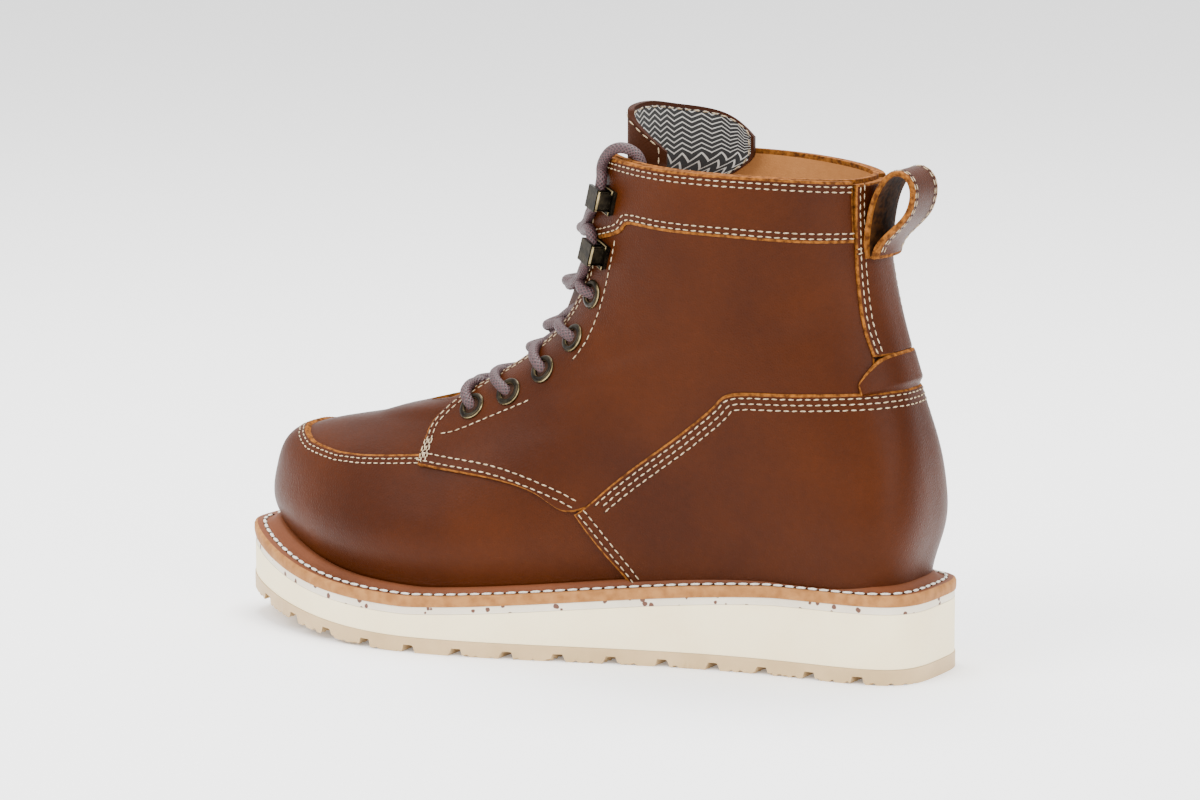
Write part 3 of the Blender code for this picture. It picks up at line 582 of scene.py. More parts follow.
def herringbone():
    """Black and white herringbone cloth: rows of chevrons."""
    finish = Finish("herringbone_cloth", grey(0.5), 0.9)
    along, across = finish.flat()
    fold = finish.maths("PINGPONG", along, CHEVRON_WIDTH)
    band = finish.maths("PINGPONG", finish.maths("ADD", fold, across), CHEVRON_STRIPE)
    half = finish.maths("MULTIPLY", band, 0.5)
    shade = finish.ramp(half, (0.56, grey(0.006)), (0.64, (0.42, 0.41, 0.38)))
    return finish.dress({
        "Base Color": shade,
        "Normal": finish.bump(finish.noise(1500.0, 3.0), 0.6, 0.0004),
        "Sheen Weight": 0.3,
    })


brown = leather("brown_leather", (0.033, 0.0062, 0.0004), (0.051, 0.0102, 0.0006), 0.40, 0.5)
tongue_brown = leather("tongue_leather", (0.024, 0.0055, 0.0010), (0.042, 0.0105, 0.0022), 0.5)
lining = leather("lining_leather", (0.28, 0.105, 0.028), (0.38, 0.16, 0.05), 0.6, 0.25, 0.0)
raw_edge = fibrous("raw_edge", (0.055, 0.016, 0.002), (0.22, 0.075, 0.011), 500.0)
suede = fibrous("suede", (0.010, 0.003, 0.0006), (0.048, 0.016, 0.0025), 420.0)
thread = fibrous("thread", (0.26, 0.19, 0.11), (0.50, 0.40, 0.27), 1500.0, 0.7, 0.0002)
welt_thread = fibrous("welt_thread", (0.55, 0.49, 0.40), (0.80, 0.76, 0.68), 1500.0, 0.7, 0.0002)
# Dark painted shade for the needle holes and the eyelets' holes
hole_shade = fibrous("hole_shade", (0.015, 0.006, 0.003), (0.03, 0.012, 0.006), 900.0)
welt_edge = fibrous("welt_edge", (0.235, 0.096, 0.027), (0.335, 0.150, 0.046), 240.0, 0.6)
welt_top = leather("welt_top", (0.085, 0.026, 0.010), (0.15, 0.048, 0.02), 0.5, 0.2, 0.05)
wedge_foam = moulded("cream_wedge", (0.92, 0.79, 0.50), (0.88, 0.74, 0.45), 0.55)
tread_rubber = moulded("cream_tread", (0.52, 0.36, 0.18), (0.42, 0.28, 0.13), 0.5)
speckled_foam = moulded("speckled_layer", (0.72, 0.64, 0.50), (0.64, 0.55, 0.42), 0.55,
                        (0.09, 0.028, 0.012))
board = fibrous("insole_board", (0.26, 0.12, 0.045), (0.36, 0.18, 0.07), 300.0, 0.8)
brass = aged_brass("antique_brass", (0.010, 0.008, 0.006), (0.045, 0.036, 0.022))
# Light brass for the painted highlights on the eyelets' bands and the hooks' rounded edges
brass_highlight = aged_brass("brass_highlight", (0.12, 0.09, 0.045), (0.36, 0.28, 0.14))
lace_braid = braid()
cloth = herringbone()


# Meshes


def finish_piece(name, bm, points, materials, nodes, sharp=0.75):
    """Moves the bmesh's vertices to points, closes its seams and makes it a piece of the boot."""
    shift = np.array([0.0, SIDE_SHIFT, 0.0])
    for vertex, point in zip(bm.verts, (points + shift) * MM):
        vertex.co = point
    bmesh.ops.remove_doubles(bm, verts=bm.verts, dist=1e-6)
    bmesh.ops.dissolve_degenerate(bm, edges=bm.edges, dist=1e-7)
    bmesh.ops.recalc_face_normals(bm, faces=bm.faces)
    if bm.calc_volume(signed=True) < 0:
        bmesh.ops.reverse_faces(bm, faces=bm.faces)
    return bmesh_piece(name, bm, materials, nodes, sharp)


def bmesh_piece(name, bm, materials, nodes, sharp=0.75):
    mesh = bpy.data.meshes.new(name)
    bm.to_mesh(mesh)
    bm.free()
    mesh.shade_smooth()
    mesh.set_sharp_from_angle(angle=sharp)
    for material in materials:
        mesh.materials.append(material)
    piece = bpy.data.objects.new(name, mesh)
    bpy.context.scene.collection.objects.link(piece)
    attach(piece, "root")
    if nodes:
        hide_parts(*nodes)
    return piece


def parameters(bm):
    return np.array([tuple(vertex.co) for vertex in bm.verts])


def unit_grid(columns, rows):
    bm = bmesh.new()
    bmesh.ops.create_grid(bm, x_segments=columns, y_segments=rows, size=0.5)
    bmesh.ops.translate(bm, verts=bm.verts, vec=(0.5, 0.5, 0.0))
    return bm


def write_uv(bm, size):
    """Stores each corner's place on the flat piece, in millimetres."""
    layer = bm.loops.layers.uv.new("flat")
    for face in bm.faces:
        for loop in face.loops:
            loop[layer].uv = (loop.vert.co.x * size[0], loop.vert.co.y * size[1])


# Stores the painted shade near the cut edges as the 'edge' attribute of the vertices
def write_edge_shade(bm, values):
    layer = bm.verts.layers.float.new("edge")
    for vertex, value in zip(bm.verts, values):
        vertex[layer] = value


def sheet_piece(name, columns, rows, size, place, materials, nodes, joined_below=-1.0, seam=None):
    """A closed sheet: place(along, across, layer) gives both faces; materials are top, under and rim.

    Where across is under joined_below, its first and last column are the same, and have no wall.
    seam(along, across) may pick faces of the top that take the rim's material.
    """
    bm = unit_grid(columns, rows)
    everything = bm.faces[:] + bm.edges[:] + bm.verts[:]
    made = bmesh.ops.extrude_face_region(bm, geom=everything, use_keep_orig=True)
    top = [piece for piece in made["geom"] if isinstance(piece, bmesh.types.BMVert)]
    bmesh.ops.translate(bm, verts=top, vec=(0.0, 0.0, 1.0))
    hidden = [face for face in bm.faces
              if abs(face.normal.x) > 0.5 and face.calc_center_median().y < joined_below]
    bmesh.ops.delete(bm, geom=hidden, context="FACES_ONLY")
    for face in bm.faces:
        middle = face.calc_center_median()
        margin = open_margin(middle.x, middle.y, size, joined_below)
        if abs(face.normal.z) < 0.5:
            face.material_index = 2
        elif middle.z < 0.5:
            face.material_index = 1 if margin > UNDER_BAND else 2
        elif margin < RAW_BAND or (seam is not None and seam(middle.x, middle.y)):
            face.material_index = 2
    write_uv(bm, size)
    along, across, layer = parameters(bm).T
    # Painted shade that fades over a few millimetres from each cut edge
    write_edge_shade(bm, np.exp(-open_margin(along, across, size, joined_below) / 2.2))
    return finish_piece(name, bm, place(along, across, layer), materials, nodes)


def edge_margin(along, across, size):
    """Millimetres from a spot of a flat piece to its nearest cut edge."""
    return np.minimum(np.minimum(along, 1 - along) * size[0], np.minimum(across, 1 - across) * size[1])


def open_margin(along, across, size, joined_below):
    """The same for a sheet whose sides are joined below a share of its height."""
    return np.where(across < joined_below, np.minimum(across, 1 - across) * size[1],
                    edge_margin(along, across, size))


def rounded_rim(along, across, size, radius=1.6, drop=0.55):
    """How far a sheet's face falls towards its cut edge."""
    return drop * (1 - np.clip(edge_margin(along, across, size) / radius, 0, 1)) ** 2


def leather_sheet(name, columns, rows, size, place, nodes):
    sheet_piece(name, columns, rows, size, place, (brown, suede, raw_edge), nodes)


def panel(name, columns, rows, size, lines, side, lift, nodes):
    """A leather panel on one side of the boot, between four lines: bottom, top, back, front."""
    def place(along, across, layer):
        spot = between_lines(*lines, along, across)
        height = np.where(layer > 0.5, lift - rounded_rim(along, across, size), PANEL_UNDER)
        return lifted(side * spot[:, 0], spot[:, 1], height)
    leather_sheet(name, columns, rows, size, place, nodes)


def plate_piece(name, columns, rows, edge, low, high, material, node, round_by):
    """A plate from heel to toe: edge(around) gives x and y, low(x, y) and high(x, y) its faces."""
    def place(along, across, layer):
        eased = (1 - np.cos(np.pi * across)) / 2
        x, lateral = edge(along)
        medial = edge(-along)[1]
        y = medial + (lateral - medial) * eased
        return np.stack([x, y, np.where(layer > 0.5, high(x, y), low(x, y))], axis=-1)
    piece = sheet_piece(name, columns, rows, PLATE_SIZE, place, (material,) * 3, (node,))
    if round_by:
        rounding = piece.modifiers.new("rounding", "BEVEL")
        rounding.width = round_by * MM
        rounding.segments = 2
        rounding.limit_method = "ANGLE"
        rounding.angle_limit = 0.9
        rounding.harden_normals = False


def reaches(points):
    """How far along a line of points each one lies."""
    return np.concatenate([[0.0], np.cumsum(np.linalg.norm(np.diff(points, axis=0), axis=1))])


def lace_piece(name, route, nodes):
    """A length of lace along a route of points, with round ends."""
    reach = reaches(route)
    length = reach[-1]
    columns = max(12, int(length / LACE_STEP))
    centres = curve(reach, route, np.linspace(0, length, columns + 1))
    run = unit(np.gradient(centres, axis=0))
    flank = np.cross(run[0], (0.3, 0.2, 0.9))
    flanks = []
    for direction in run:
        flank = unit(flank - direction * flank.dot(direction))
        flanks.append(flank)
    flanks = np.array(flanks)
    bm = unit_grid(columns, LACE_SIDES)
    write_uv(bm, (length, 1.0))
    along, across, _ = parameters(bm).T
    row = np.rint(along * columns).astype(int)
    from_end = np.clip(np.minimum(along, 1 - along) * length / LACE_RADIUS, 0, 1)
    size = LACE_RADIUS * np.sqrt(1 - (1 - from_end) ** 2)
    turn = 2 * np.pi * across
    sideways = flanks[row] * (size * np.cos(turn))[:, None]
    points = centres[row] + sideways + np.cross(run, flanks)[row] * (size * np.sin(turn))[:, None]
    finish_piece(name, bm, points, (lace_braid,), nodes, SMOOTH)


# Stitching


def moved_line(line, distance):
    """The line of (around, up) rows moved over the skin, to its right seen from the lateral side."""
    by_around, by_up, normal = slopes(*line.T)
    aside = unit(np.cross(np.gradient(skin(*line.T), axis=0), normal)) * distance
    aa, ab, bb, la, lb = ((one * other).sum(1) for one, other in (
        (by_around, by_around), (by_around, by_up), (by_up, by_up), (aside, by_around), (aside, by_up)))
    return line + np.stack([la * bb - lb * ab, lb * aa - la * ab], axis=1) / (aa * bb - ab * ab)[:, None]


def dense(table, start=0.0, end=1.0, count=160):
    return line_at(table, np.linspace(start, end, count))


def skin_row(line, lift, side):
    """A stitch row's points and normals along a line of the skin."""
    points = lifted(side * line[:, 0], line[:, 1], lift)
    above = lifted(side * line[:, 0], line[:, 1], lift + 1.0)
    return points, above - points


def evenly(points, normals, pitch):
    """Places at equal steps along a row, with the row's direction and normal there."""
    reach = reaches(points)
    spots = np.arange(pitch / 2, reach[-1], pitch)

    def read(rows, at):
        return np.stack([np.interp(at, reach, column) for column in rows.T], axis=1)
    run = unit(read(points, spots + 0.5) - read(points, spots - 0.5))
    normal = read(normals, spots)
    return read(points, spots), run, unit(normal - run * (normal * run).sum(1)[:, None])


def many_lozenges(count, segments, rings):
    """Equal small spheres in one bmesh, each one APART further along X than the one before."""
    bm = bmesh.new()
    bmesh.ops.create_uvsphere(bm, u_segments=segments, v_segments=rings, radius=1.0,
                              matrix=Matrix.Rotation(np.pi / 2, 4, "Y"))
    made = 1
    while made < count:
        copy = bmesh.ops.duplicate(bm, geom=bm.verts[:] + bm.edges[:] + bm.faces[:])
        fresh = [part for part in copy["geom"] if isinstance(part, bmesh.types.BMVert)]
        bmesh.ops.translate(bm, verts=fresh, vec=(APART * made, 0.0, 0.0))
        made *= 2
    surplus = [vertex for vertex in bm.verts if vertex.co.x > APART * (count - 0.5)]
    bmesh.ops.delete(bm, geom=surplus, context="VERTS")
    return bm


def lozenges(centres, runs, normals, half, segments, rings):
    """Flattened spheres at each centre; half is their half length, half width and half height."""
    bm = many_lozenges(len(centres), segments, rings)
    spots = parameters(bm)
    which = np.rint(spots[:, 0] / APART).astype(int)
    spots[:, 0] -= which * APART
    flanks = np.cross(normals, runs)
    points = centres[which] + [0.0, SIDE_SHIFT, 0.0]
    for k, axes in enumerate((runs, flanks, normals)):
        points = points + axes[which] * (spots[:, k] * half[k])[:, None]
    for vertex, point in zip(bm.verts, points * MM):
        vertex.co = point
    return bm


def stitch_piece(name, rows, pitch=STITCH_PITCH, length=STITCH_LENGTH, width=STITCH_WIDTH,
                 yarn=thread):
    """Rows of stitches joined in one mesh: a short lozenge of thread between two needle holes, which are
    dark lozenges of painted shade in a mesh of their own.
    """
    places = [evenly(points, normals, pitch) for points, normals in rows]
    centres, runs, normals = (np.concatenate([place[k] for place in places]) for k in range(3))
    lean = np.where(np.arange(len(centres)) % 2 == 0, *STITCH_LEAN)[:, None]
    leaning = runs + np.cross(normals, runs) * lean
    stitches = lozenges(centres, leaning, normals, (length / 2, width, width * 0.7), 6, 5)
    bmesh_piece(name, stitches, (yarn,), (), SMOOTH)
    # Flat dark lozenges of painted shade where the thread goes down into its holes
    between = centres + runs * pitch / 2
    hole_shades = lozenges(between, runs, normals, (width * 1.2, width * 1.1, width * 0.3), 6, 4)
    bmesh_piece(f"{name}_holes", hole_shades, (hole_shade,), (), SMOOTH)


# The boot's pieces


def upper_spot(along, across):
    """around and up of a point of the upper, with its columns drawn back from the throat."""
    base = np.interp(across * UPPER_ROWS, *UPPER_SPACING)
    turn = 2 * along - 1
    edge = np.where(base > THROAT_FOOT, throat_edge(base), 1.0)
    far = np.abs(turn)
    around = np.sign(turn) * np.where(far > 0.5, 0.5 + (far - 0.5) * (edge - 0.5) / 0.5, far)
    near_seam = np.interp(base, (0.24, SEAM_ROW, 0.335, 0.46), (0, 1, 1, 0))
    near_toe = ease((np.abs(around) - 0.56) / 0.08)
    return around, base + (moc_seam(around) - SEAM_ROW) * near_seam * near_toe, base


def make_upper():
    """Vamp, moccasin plug and shaft in one wall, with the plug sunk behind its raw-edged seam."""
    def place(along, across, layer):
        around, up, base = upper_spot(along, across)
        plug = ease((base - SEAM_ROW) / SEAM_STEP) * ease((np.abs(around) - 0.62) / 0.04)
        plug = plug * (1 - ease((base - 0.44) / 0.05))
        pucker = 0.10 * np.sin(np.abs(around) * 520.0) * np.exp(-((base - SEAM_ROW) / 0.010) ** 2)
        pucker = pucker * ease((np.abs(around) - 0.62) / 0.04)
        points = lifted(around, up, pucker - PLUG_DEPTH * plug - UPPER_WALL * (1 - layer))
        foot = base < 0.001
        points[foot, 2] = midsole_top(points[foot, 0]) + FOOT_GAP
        return points

    def seam(along, across):
        around, _, base = upper_spot(np.array([along]), np.array([across]))
        return abs(around[0]) > 0.64 and SEAM_ROW - SEAM_STEP < base[0] < SEAM_ROW + SEAM_STEP

    sheet_piece("boot_upper", 320, UPPER_ROWS, (560.0, 190.0), place, (brown, lining, raw_edge),
                ("upper",), THROAT_ROW / UPPER_ROWS, seam)


def quarter_bottom():
    """The quarter's lower line: hidden under the counter, then free from there to the toe."""
    hidden = [(around - 0.004, up - 0.020) for around, up in COUNTER_EDGE[4:-1]]
    return [QUARTER_BACK[0]] + hidden[1:] + list(QUARTER_TOE)


def make_panels():
    for side, name in SIDES:
        panel(f"boot_quarter_{name}", 210, 120, (230.0, 110.0),
              (quarter_bottom(), QUARTER_COLLAR, QUARTER_BACK, QUARTER_FRONT), side, QUARTER_TOP,
              (f"quarter_{name}",))
        panel(f"boot_collar_band_{name}", 200, 24, (165.0, 27.0),
              (COLLAR_LOW, COLLAR_TOP, COLLAR_BACK, COLLAR_FRONT), side, OVERLAY_TOP,
              (f"collar_band_{name}",))


def fan_piece(name, columns, rows, size, top, foot, lift, sunk, nodes):
    """A panel across the heel whose columns fan out from its foot, which may be sunk."""
    def place(along, across, layer):
        high = line_at(top, along)
        low = np.stack([foot[0] * (2 * along - 1), np.full_like(along, foot[1])], axis=-1)
        spot = low + (high - low) * across[:, None]
        face = lift - sunk * (1 - ease((across * size[1] - 2.5) / 2.5)) - rounded_rim(along, across, size)
        return lifted(spot[:, 0], spot[:, 1], np.where(layer > 0.5, face, PANEL_UNDER))
    leather_sheet(name, columns, rows, size, place, nodes)


def make_heel_panels():
    fan_piece("boot_heel_counter", 300, 70, (300.0, 75.0), mirrored(COUNTER_EDGE + (COUNTER_CORNER,)),
              COUNTER_FOOT, OVERLAY_TOP, 0.0, ("heel_counter",))
    fan_piece("boot_heel_tab", 80, 28, (62.0, 15.5), mirrored(TAB_EDGE), TAB_FOOT, TAB_TOP,
              TAB_TOP - OVERLAY_TOP + 0.5, ("heel_tab",))
    size = (30.0, 70.0)

    def strap(along, across, layer):
        edge = line_at(STRAP_SIDE, across)
        height = np.where(layer > 0.5, STRAP_TOP - rounded_rim(along, across, size), PANEL_UNDER)
        return lifted(edge[:, 0] * (2 * along - 1), edge[:, 1], height)
    leather_sheet("boot_back_strap", 40, 90, size, strap, ("back_strap",))


def loop_spot(t):
    """Middle line of the pull loop and its direction, as x and z."""
    run = line_at(LOOP_LINE, np.minimum(t + 0.01, 1.0)) - line_at(LOOP_LINE, np.maximum(t - 0.01, 0.0))
    return line_at(LOOP_LINE, t), unit(run)


def loop_point(t, aside, out):
    """A point of the loop: aside of its middle, out from it, with its ends bent round the heel."""
    spot, run = loop_spot(t)
    bend = LOOP_BEND * (aside / LOOP_HALF_WIDTH) ** 2 * (1 - ease(np.minimum(t, 1 - t) / 0.3))
    return np.stack([spot[:, 0] - run[:, 1] * out + bend, aside, spot[:, 1] + run[:, 0] * out], axis=-1)


def make_loop():
    def place(along, across, layer):
        rim = rounded_rim(along, across, (95.0, 25.0), 1.3, 0.4)
        thick = (LOOP_THICK / 2 - rim) * np.where(layer > 0.5, 1.0, -1.0)
        half = LOOP_HALF_WIDTH * (1 - 0.06 * np.sin(np.pi * along) ** 2)
        return loop_point(along, (2 * across - 1) * half, thick)
    sheet_piece("boot_pull_loop", 150, 24, (95.0, 25.0), place, (suede, brown, raw_edge),
                ("pull_loop",))


def tongue_rim(turn):
    """The tongue's top line, whose rows stand at uneven turns from -1 to 1."""
    table = np.array(TONGUE_TOP)
    return curve(table[:, 0], table[:, 1:], np.clip(turn, -1.0, 1.0))


def tongue_point(turn, across, layer):
    """A point of the tongue: it follows the upper low down, and its own line above the collar.

    turn is -1 to 1 across the tongue, across is 0 to 1 up it, and layer is 0 inside and 1 outside.
    """
    thick = TONGUE_OUTER - TONGUE_INNER
    up = TONGUE_FOOT + (TONGUE_FREE - TONGUE_FOOT) * np.minimum(across / TONGUE_HELD_ROWS, 1.0)
    depth = TONGUE_INNER + thick * layer - PLUG_DEPTH * (1 - ease((up - 0.47) / 0.06))
    held = lifted(1.0 + TONGUE_REACH * turn, up, depth)
    top = tongue_rim(turn)
    run = unit((tongue_rim(turn + 0.02) - tongue_rim(turn - 0.02))[:, :2])
    inward = thick * (layer - 1.0)
    height = held[:, 2] + (top[:, 2] - held[:, 2]) * share_between(across, (TONGUE_HELD_ROWS, 1.0))
    free = np.stack([top[:, 0] - run[:, 1] * inward, top[:, 1] + run[:, 0] * inward, height], axis=-1)
    return held + (free - held) * ease(share_between(up, (TONGUE_LEAVES, TONGUE_FREE)))[:, None]


def make_tongue():
    sheet_piece("boot_tongue", 110, 130, (85.0, 150.0),
                lambda along, across, layer: tongue_point(2 * along - 1, across, layer),
                (tongue_brown, cloth, tongue_brown), ("tongue",))


def in_groove(x, y):
    """How far each spot of the tread lies in a groove, from 0 to 1, with steep walls."""
    middle = centre_line(x)
    depth = np.zeros_like(x)
    for i in range(int((LAST_GROOVE_X - FIRST_GROOVE_X) / LUG_PITCH) + 1):
        start = FIRST_GROOVE_X + i * LUG_PITCH
        across = np.clip((LUG_GROOVE / 2 - np.abs(x - start)) / 0.7 + 0.5, 0, 1)
        depth = np.maximum(depth, across * np.clip((np.abs(y - middle) - EDGE_LUG_FROM) / 0.7, 0, 1))
        between = start + LUG_PITCH / 2
        if between < LAST_MIDDLE_GROOVE_X and not any(low < between < high for low, high in PLAIN_BARS):
            across = np.clip((LUG_GROOVE / 2 - np.abs(x - between)) / 0.7 + 0.5, 0, 1)
            depth = np.maximum(depth, across * np.clip((MIDDLE_GROOVE - np.abs(y - middle)) / 0.7, 0, 1))
    return depth


def teeth(x, y):
    """Small bites out of the tread's rim, uneven from one to the next."""
    bites = np.sin(x * 1.9) + np.sin(x * 1.13 + 1.0) + np.sin(y * 1.7)
    rim = ease((np.abs(y - centre_line(x)) - EDGE_LUG_FROM) / 12.0)
    return 0.9 * np.clip(bites - 0.3, 0.0, 1.0) * rim


def make_sole():
    plate_piece("boot_outsole", 620, 84, sole_edge,
                lambda x, y: ground(x) + np.maximum(LUG * in_groove(x, y), teeth(x, y)),
                lambda x, y: ground(x) + TREAD - 0.1, tread_rubber, "outsole", 0.0)
    plate_piece("boot_wedge", 240, 20, lambda around: sole_edge(around, 0.3),
                lambda x, y: ground(x) + TREAD, lambda x, y: midsole_top(x) - SPECKLED - 0.1,
                wedge_foam, "wedge_midsole", 0.8)
    plate_piece("boot_speckled_layer", 240, 20, lambda around: sole_edge(around, 0.4),
                lambda x, y: midsole_top(x) - SPECKLED, lambda x, y: midsole_top(x), speckled_foam,
                "speckled_midsole", 0.35)
    plate_piece("boot_insole", 160, 16, lambda around: lifted(around, 0.03, -UPPER_WALL - 1.9)[:, :2].T,
                lambda x, y: midsole_top(x) + FOOT_GAP, lambda x, y: midsole_top(x) + FOOT_GAP + INSOLE,
                board, "insole", 0.8)


def welt_rows(around):
    """The welt's outer edge and the line where it meets the upper, in plan."""
    edge = np.stack(sole_edge(around), axis=-1)
    hug = lifted(around, np.full_like(around, 0.045), 0.6)[..., :2]
    return edge, hug


def make_welt():
    count = len(WELT_PROFILE)
    bm = unit_grid(420, count)
    for face in bm.faces:
        face.material_index = 0 if int(face.calc_center_median().y * count) < WELT_EDGE_ROWS else 1
    along, across, _ = parameters(bm).T
    around = 2 * along - 1
    edge, hug = welt_rows(around)
    share, height = np.array(WELT_PROFILE)[np.rint(across * count).astype(int) % count].T
    plan = edge + (hug - edge) * share[:, None]
    points = np.column_stack([plan, midsole_top(edge[:, 0]) + height])
    finish_piece("boot_welt", bm, points, (welt_edge, welt_top), ("welt",))


def eyelet_piece(number, side, around, up):
    """A rolled brass ring with painted highlight bands on its outer shoulder and inner lip, over the
    painted shade of its hole.
    """
    centre, normal, across_way, rise = local_frame(side * around, up, QUARTER_TOP)
    count = len(EYELET_PROFILE)
    bm = unit_grid(48, count)
    for face in bm.faces:
        face.material_index = 1 if int(face.calc_center_median().y * count) in EYELET_HIGHLIGHT else 0
    along, across, _ = parameters(bm).T
    row = np.rint(across * count).astype(int) % count
    radius, height = np.array(EYELET_PROFILE)[row].T
    turn = 2 * np.pi * along
    flat = np.outer(radius * np.cos(turn), across_way) + np.outer(radius * np.sin(turn), rise)
    points = centre + flat + np.outer(height, normal)
    finish_piece(f"boot_eyelet_{number}", bm, points, (brass, brass_highlight),
                 (f"eyelet_{number}",), 1.2)


def make_eyelets():
    number = 0
    frames = []
    for side in (1, -1):
        for around, up in EYELETS:
            number += 1
            eyelet_piece(number, side, around, up)
            frames.append(local_frame(side * around, up, QUARTER_TOP)[:3])
    centres, normals, across_ways = (np.array(rows) for rows in zip(*frames))
    # A flat dark disc of painted shade in each eyelet's hole
    hole_shades = lozenges(centres, across_ways, normals, (EYELET_HOLE, EYELET_HOLE, 0.25), 24, 6)
    bmesh_piece("boot_eyelet_holes", hole_shades, (hole_shade,), (), SMOOTH)


def soft_box(bm, frame_axes, offset, half, rounding, corner):
    """A box with rounded edges; offset and half are along round-the-boot, up and outwards.

    corner rounds the four upright edges first, for a plate with round corners.
    """
    centre, normal, across_way, rise = frame_axes
    axes = (across_way, rise, normal)
    middle = centre + sum(axis * step for axis, step in zip(axes, offset)) + np.array([0, SIDE_SHIFT, 0])
    made = bmesh.ops.create_cube(bm, size=2.0)["verts"]
    for vertex in made:
        spot = middle + sum(axis * vertex.co[k] * half[k] for k, axis in enumerate(axes))
        vertex.co = Vector(spot * MM)
    edges = list({edge for vertex in made for edge in vertex.link_edges})
    faces = {face for vertex in made for face in vertex.link_faces}
    if corner:
        out = Vector(normal)
        upright = [edge for edge in edges
                   if abs((edge.verts[1].co - edge.verts[0].co).normalized().dot(out)) > 0.9]
        rounded = bmesh.ops.bevel(bm, geom=upright, offset=corner * MM, segments=3, profile=0.5,
                                  affect="EDGES", material=-1)
        faces = {face for face in faces if face.is_valid} | set(rounded["faces"])
        edges = [edge for edge in {edge for face in faces for edge in face.edges}
                 if abs((edge.verts[1].co - edge.verts[0].co).normalized().dot(out)) < 0.1]
    bmesh.ops.bevel(bm, geom=edges, offset=rounding * MM, segments=3, profile=0.5,
                    affect="EDGES", material=-1)


def make_hooks():
    number = 0
    for side in (1, -1):
        for around, up in HOOKS:
            number += 1
            carrier = OVERLAY_TOP if up > COLLAR_LOW[-2][1] + 0.02 else QUARTER_TOP
            axes = local_frame(side * around, up, carrier)
            bm = bmesh.new()
            for (x, y, z), half, rounding, corner in HOOK_PARTS:
                soft_box(bm, axes, (side * x, y, z), half, rounding, corner)
            bmesh.ops.recalc_face_normals(bm, faces=bm.faces)
            # Faces of the rounded edges that turn partly outwards take the painted highlight
            for face in bm.faces:
                facing = [abs(face.normal.dot(Vector(axis))) for axis in axes[1:]]
                face.material_index = 1 if max(facing) < 0.97 and facing[0] > 0.25 else 0
            bmesh_piece(f"boot_lace_hook_{number}", bm, (brass, brass_highlight),
                        (f"lace_hook_{number}",), 0.9)


def over_throat(side, up, lift):
    return lifted(side * throat_edge(up), up, lift)


def strand(side, start, edge_up):
    """One length of lace: out of an eyelet, over the throat's edge, across, and in under the far edge."""
    around, up = start
    lip = throat_edge(edge_up)
    inner = 1 - 0.62 * (1 - lip)
    return [
        lifted(side * (around - 0.004), up - 0.004, -2.5),
        *(lifted(side * (around + t * (lip - around)), up + t * (edge_up - up), lift)
          for t, lift in LACE_OUTWARD),
        lifted(side * inner, edge_up + 0.012, 0.5 * LACE_CENTRE[side]),
        lifted(1.0, edge_up + 0.020, LACE_CENTRE[side]),
        lifted(-side * inner, edge_up + 0.028, -1.4),
        lifted(-side * throat_edge(edge_up + 0.034), edge_up + 0.034, -1.8),
    ]


def past_hook(side, spot, lift, route):
    """Points beside a hook: millimetres towards the throat, up, and over its leather."""
    centre, normal, across_way, rise = local_frame(side * spot[0], spot[1], lift)
    return [centre + across_way * (side * x) + rise * y + normal * z for x, y, z in route]


def make_laces():
    number = 0
    for i, edge_up in enumerate(LACE_EDGE_UP[:4]):
        for side in (1, -1):
            number += 1
            nodes = (f"lace_crossing_{i + 1}",) if side == 1 else ()
            lace_piece(f"boot_lace_{number}", strand(side, EYELETS[i], edge_up), nodes)
    low_hook, high_hook = HOOKS
    for side in (1, -1):
        number += 1
        route = strand(side, EYELETS[4], LACE_EDGE_UP[4])[:-2]
        route += [over_throat(-side, 0.776, 3.2)]
        route += past_hook(-side, low_hook, QUARTER_TOP, LOW_HOOK_ROUTE)
        route += [over_throat(-side, 0.862, 3.2), lifted(1.0, 0.869, LACE_CENTRE[side]),
                  over_throat(side, 0.876, 3.2)]
        route += past_hook(side, high_hook, OVERLAY_TOP, HIGH_HOOK_ROUTE)
        around, up, lift, raised = np.array(COLLAR_ROUTE).T
        over_collar = lifted(side * around, up, lift)
        over_collar[:, 2] += raised
        nodes = ("lace_crossing_5", "lace_crossing_6") if side == 1 else ()
        lace_piece(f"boot_lace_{number}", route + list(over_collar), nodes)


